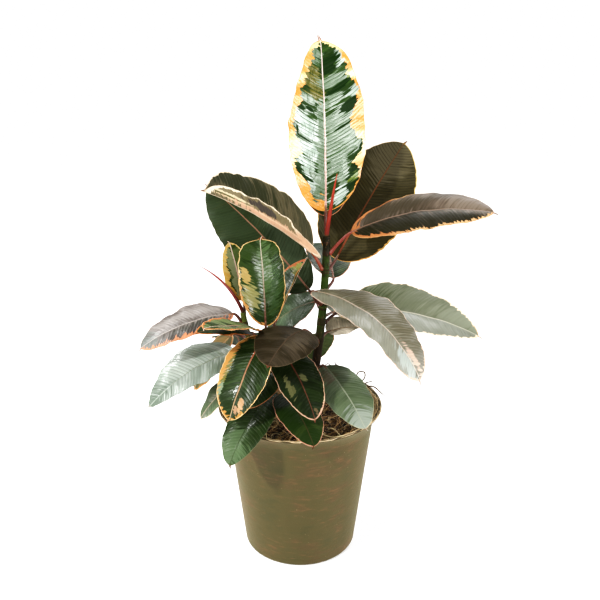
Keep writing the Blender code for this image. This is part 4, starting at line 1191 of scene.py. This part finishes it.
def make_rim_fibres():
    """A mat of fibres on the inside of the wall, from the fill up to the lip. Each runs round the
    wall at its own slope, wavers, and lifts off the wall a little at its ends. A few lie on the lip."""
    draw = np.random.default_rng(34)
    count = RIM_FIBRES
    run = np.linspace(-0.5, 0.5, RIM_FIBRE_RINGS)
    length = draw.uniform(12.0, 46.0, (count, 1)) * MM
    slope = draw.normal(0.0, 0.35, (count, 1))
    bearing = draw.uniform(0.0, 2.0 * np.pi, (count, 1))
    bearing = bearing + length * np.cos(slope) * run / inner_radius(FILL_TOP)
    low, high = FILL_TOP - FILL_EDGE_DROP, POT_HEIGHT - 0.6 * MM
    height = draw.uniform(low, high, (count, 1)) + length * np.sin(slope) * run
    height = height + draw.normal(0.0, 1.2, (count, 1)) * MM * np.sin(2.0 * np.pi * run)
    height = np.clip(height, low, high)
    off = draw.uniform(0.5, 2.4, (count, 1)) * MM
    off = off + 14.0 * run ** 2 * draw.uniform(0.0, 0.5, (count, 1)) * MM
    away = inner_radius(height) - off
    on_lip = draw.random((count, 1)) < LIP_SHARE
    across_lip = draw.uniform(0.0, 1.0, (count, 1)) + 0.35 * np.sin(5.0 * run + bearing)
    away = np.where(on_lip, RIM_RADIUS - LIP * np.clip(across_lip, 0.1, 1.0), away)
    height = np.where(on_lip, POT_HEIGHT + 0.4 * MM, height)
    points = np.stack([away * np.cos(bearing), away * np.sin(bearing), height], axis=-1)
    thick = draw.uniform(0.25, 0.6, (count, 1)) * MM * (1.0 - 0.75 * np.abs(2.0 * run) ** 3)
    add_loose("rim_fibres", tube_rings(points, thick, UPRIGHT, FIBRE_AROUND), RIM_FIBRE, 0.75)


def crumbs(name, seed, count, size, colour):
    """Lumps of the mix: squashed six-sided grains at random places and turns."""
    draw = np.random.default_rng(seed)
    bearing = draw.uniform(0.0, 2.0 * np.pi, count)
    away = np.sqrt(draw.random(count)) * (inner_radius(FILL_TOP) - 5.0 * MM)
    x, y = away * np.cos(bearing), away * np.sin(bearing)
    centre = np.stack([x, y, fill_height(x, y) + 0.8 * MM], axis=-1)
    level = np.linspace(-0.9, 0.9, CRUMB_RINGS)
    turn = 2.0 * np.pi * np.arange(CRUMB_AROUND) / CRUMB_AROUND
    girth = np.sqrt(1.0 - level ** 2)[:, None]
    ball = np.stack([girth * np.cos(turn), -girth * np.sin(turn), level[:, None] + 0.0 * turn], axis=-1)
    scale = draw.uniform(*size, (count, 1, 1, 1)) * MM * draw.uniform(0.5, 1.3, (count, 1, 1, 3))
    rough = draw.uniform(0.8, 1.2, (count, CRUMB_RINGS, CRUMB_AROUND, 1))
    angle = draw.uniform(0.0, 2.0 * np.pi, (count, 1, 1))
    lump = ball[None] * rough * scale
    spun = np.stack([lump[..., 0] * np.cos(angle) - lump[..., 1] * np.sin(angle),
                     lump[..., 0] * np.sin(angle) + lump[..., 1] * np.cos(angle), lump[..., 2]], axis=-1)
    add_loose(name, (spun + centre[:, None, None])[:, ::-1], colour, 0.85)


# Curled fibres that lie on top or stand up past the rim: radius in millimetres, and points in
# millimetres from the pot's centre with their height over the fill
PALE_CURLS = (
    (0.95, ((24, -30, 6), (23, -62, 10), (30, -86, 14), (45, -102, 18), (63, -109, 24))),
    (0.75, ((-42, -17, 5), (-52, -38, 8), (-52, -70, 10), (-47, -103, 12))),
    (0.75, ((92, 58, 8), (98, 42, 10), (95, 20, 9), (98, 2, 8), (92, -20, 6))),
    (0.75, ((60, 20, 5), (72, 6, 8), (78, -16, 10), (72, -40, 8), (84, -60, 6))),
    (0.75, ((30, -60, 5), (50, -66, 8), (62, -84, 9), (84, -78, 7))),
)
BROWN_CURLS = (
    (1.30, ((90, 62, 8), (99, 68, 23), (106, 71, 31), (105, 72, 40), (96, 72, 41), (93, 71, 34),
            (99, 68, 26))),
    (1.30, ((104, 50, 14), (112, 52, 24), (120, 47, 25), (128, 43, 19), (137, 40, 11))),
    (1.00, ((96, 62, 14), (106, 60, 26), (114, 55, 31), (120, 52, 34))),
    (1.00, ((30, 104, 14), (38, 112, 26), (46, 114, 36), (54, 112, 33), (62, 108, 37), (70, 102, 30))),
    (1.00, ((48, 102, 12), (54, 108, 26), (60, 110, 38), (55, 112, 42))),
)


def make_curls(name, curls, colour):
    """Each curl is a smooth line through its points, worked out with a cubic through each four."""
    rings = []
    for radius, curl in curls:
        knots = np.array(curl, float) * MM
        knots = np.concatenate([2 * knots[:1] - knots[1:2], knots, 2 * knots[-1:] - knots[-2:-1]])
        t = np.linspace(0.0, 1.0, CURL_RINGS) * (len(curl) - 1)
        cell = np.minimum(t.astype(int), len(curl) - 2)
        part = (t - cell)[:, None]
        a, b, c, d = (knots[cell + k] for k in range(4))
        line = 0.5 * (2 * b + (c - a) * part + (2 * a - 5 * b + 4 * c - d) * part ** 2
                      + (3 * b - a - 3 * c + d) * part ** 3)
        line[:, 2] += fill_height(line[:, 0], line[:, 1])
        radii = radius * MM * (1.0 - 0.6 * np.abs(np.linspace(-1.0, 1.0, CURL_RINGS)) ** 3)
        rings.append(tube_rings(line, radii, UPRIGHT, CURL_AROUND))
    add_loose(name, np.array(rings), colour, 0.6)


def make_floor():
    """A plain pale floor that glows a little, so it shows as white."""
    mesh = bpy.data.meshes.new("floor")
    far = 120.0
    corners = [(-far, -far, 0.0), (far, -far, 0.0), (far, far, 0.0), (-far, far, 0.0)]
    mesh.from_pydata(corners, [], [(0, 1, 2, 3)])
    mesh.materials.append(Finish("floor_white", Base_Color=(0.9, 0.9, 0.9, 1.0), Roughness=0.9,
                                Emission_Color=(1.0, 1.0, 1.0, 1.0), Emission_Strength=0.22).material)
    floor = bpy.data.objects.new("floor", mesh)
    bpy.context.scene.collection.objects.link(floor)
    floor.visible_glossy = False


def place_lamp(name, lamp, place, towards):
    """A lamp at a place, turned towards a point and out of the camera's sight."""
    made = bpy.data.objects.new(name, lamp)
    made.location = place
    facing = mathutils.Vector(towards) - mathutils.Vector(place)
    made.rotation_euler = facing.to_track_quat("-Z", "Y").to_euler()
    made.visible_camera = False
    bpy.context.scene.collection.objects.link(made)


def add_box(name, place, towards, size, power):
    """A soft box: a rectangle of light at a place, facing a point."""
    lamp = bpy.data.lights.new(name, "AREA")
    lamp.shape = "RECTANGLE"
    lamp.size, lamp.size_y = size
    lamp.energy = power
    place_lamp(name, lamp, place, towards)


def add_sun(name, place, strength, softness):
    """Even light from the side of a place, soft by its spread in degrees."""
    lamp = bpy.data.lights.new(name, "SUN")
    lamp.energy = strength
    lamp.angle = np.radians(softness)
    place_lamp(name, lamp, place, (0.0, 0.0, 0.0))


# The picture's contrast: brightness of the light, and the brightness that it shows as
CONTRAST = ((0.03, 0.020), (0.10, 0.090), (0.25, 0.30), (0.50, 0.62), (0.85, 0.97))
SKY_STRENGTH = 0.22
# Suns: the side that they shine from, strength, and spread in degrees
SUNS = (("key", (-0.72, -0.80, 1.0), 2.3, 4.0), ("overhead", (0.1, 0.2, 1.0), 0.85, 80.0))
# Soft boxes: place, the point that they face, width and height, and power in watts
BOXES = (
    ("front_box", (1.33, -1.50, 0.74), (0.04, 0.04, 0.62), (1.6, 0.7), 24.0),
    ("left_box", (-1.30, 0.67, 1.85), (-0.10, 0.0, 0.36), (0.8, 0.45), 24.0),
    ("back_box", (0.70, 1.45, 1.55), (0.05, 0.0, 0.45), (1.6, 0.7), 12.0),
    ("low_box", (-1.30, -1.55, 0.22), (-0.05, -0.03, 0.42), (0.7, 0.3), 4.0),
    ("left_side", (-1.7, -0.1, 0.5), (0.0, 0.0, 0.25), (0.8, 0.9), 17.0),
    ("right_side", (1.7, 0.2, 0.5), (0.0, 0.0, 0.25), (0.8, 0.9), 17.0),
    ("low_front", (0.40, -1.85, 0.30), (-0.05, -0.03, 0.42), (0.8, 0.3), 5.0),
)
CAMERA_PLACE, CAMERA_DIP, LENS = (0.0, -1.19, 0.853), 20.33, 51.0


def light_and_camera():
    """Soft studio light from all sides, and the photograph's view from a little above."""
    scene = bpy.context.scene
    scene.view_settings.view_transform = "Standard"
    scene.view_settings.use_curve_mapping = True
    contrast = scene.view_settings.curve_mapping
    for level, shows in CONTRAST:
        contrast.curves[3].points.new(level, shows)
    contrast.update()
    world = bpy.data.worlds.new("studio")
    world.use_nodes = True
    sky = world.node_tree.nodes["Background"]
    sky.inputs["Color"].default_value = (1.0, 1.0, 1.0, 1.0)
    sky.inputs["Strength"].default_value = SKY_STRENGTH
    scene.world = world
    for sun in SUNS:
        add_sun(*sun)
    for box in BOXES:
        add_box(*box)

    lens = bpy.data.cameras.new("camera")
    lens.sensor_width = 36.0
    lens.lens = LENS
    camera = bpy.data.objects.new("camera", lens)
    camera.location = CAMERA_PLACE
    camera.rotation_euler = (np.radians(90.0 - CAMERA_DIP), 0.0, 0.0)
    scene.collection.objects.link(camera)
    scene.camera = camera


# Fibres: seed, count, length, radius, height of the arc in millimetres, turning, colour, and the share
# at the wall
FIBRES = {
    "coarse_fibres": (3, 800, (25, 75), (0.45, 0.95), 10.0, 0.35, (164, 130, 84), 0.3),
    "fine_fibres": (5, 800, (14, 45), (0.25, 0.45), 9.0, 0.5, (222, 200, 156), 0.5),
    "dark_fibres": (8, 1000, (20, 60), (0.40, 0.75), 9.0, 0.4, (58, 38, 20), 0.35),
}
# Crumbs: seed, count, size in millimetres and colour
CRUMBS = {
    "mix_crumbs": (13, 380, (1.0, 3.0), (116, 96, 60)),
    "dark_crumbs": (21, 260, (1.0, 3.4), (38, 28, 16)),
}
PALE_CURL, BROWN_CURL = (226, 206, 160), (78, 60, 40)

light_and_camera()
make_floor()
make_pot()
make_fill()
for name, fibres in FIBRES.items():
    strands(name, *fibres)
for name, lumps in CRUMBS.items():
    crumbs(name, *lumps)
make_rim_fibres()
make_curls("pale_curls", PALE_CURLS, PALE_CURL)
make_curls("brown_curls", BROWN_CURLS, BROWN_CURL)
for number, (name, stem) in enumerate(STEMS.items()):
    make_stem(name, stem, number + 1)
for name, bud in BUDS.items():
    make_bud(name, bud)
for number, (name, leaf) in enumerate(LEAVES.items()):
    make_leaf(name, leaf, LOOKS.get(name, GREEN), number + 1)
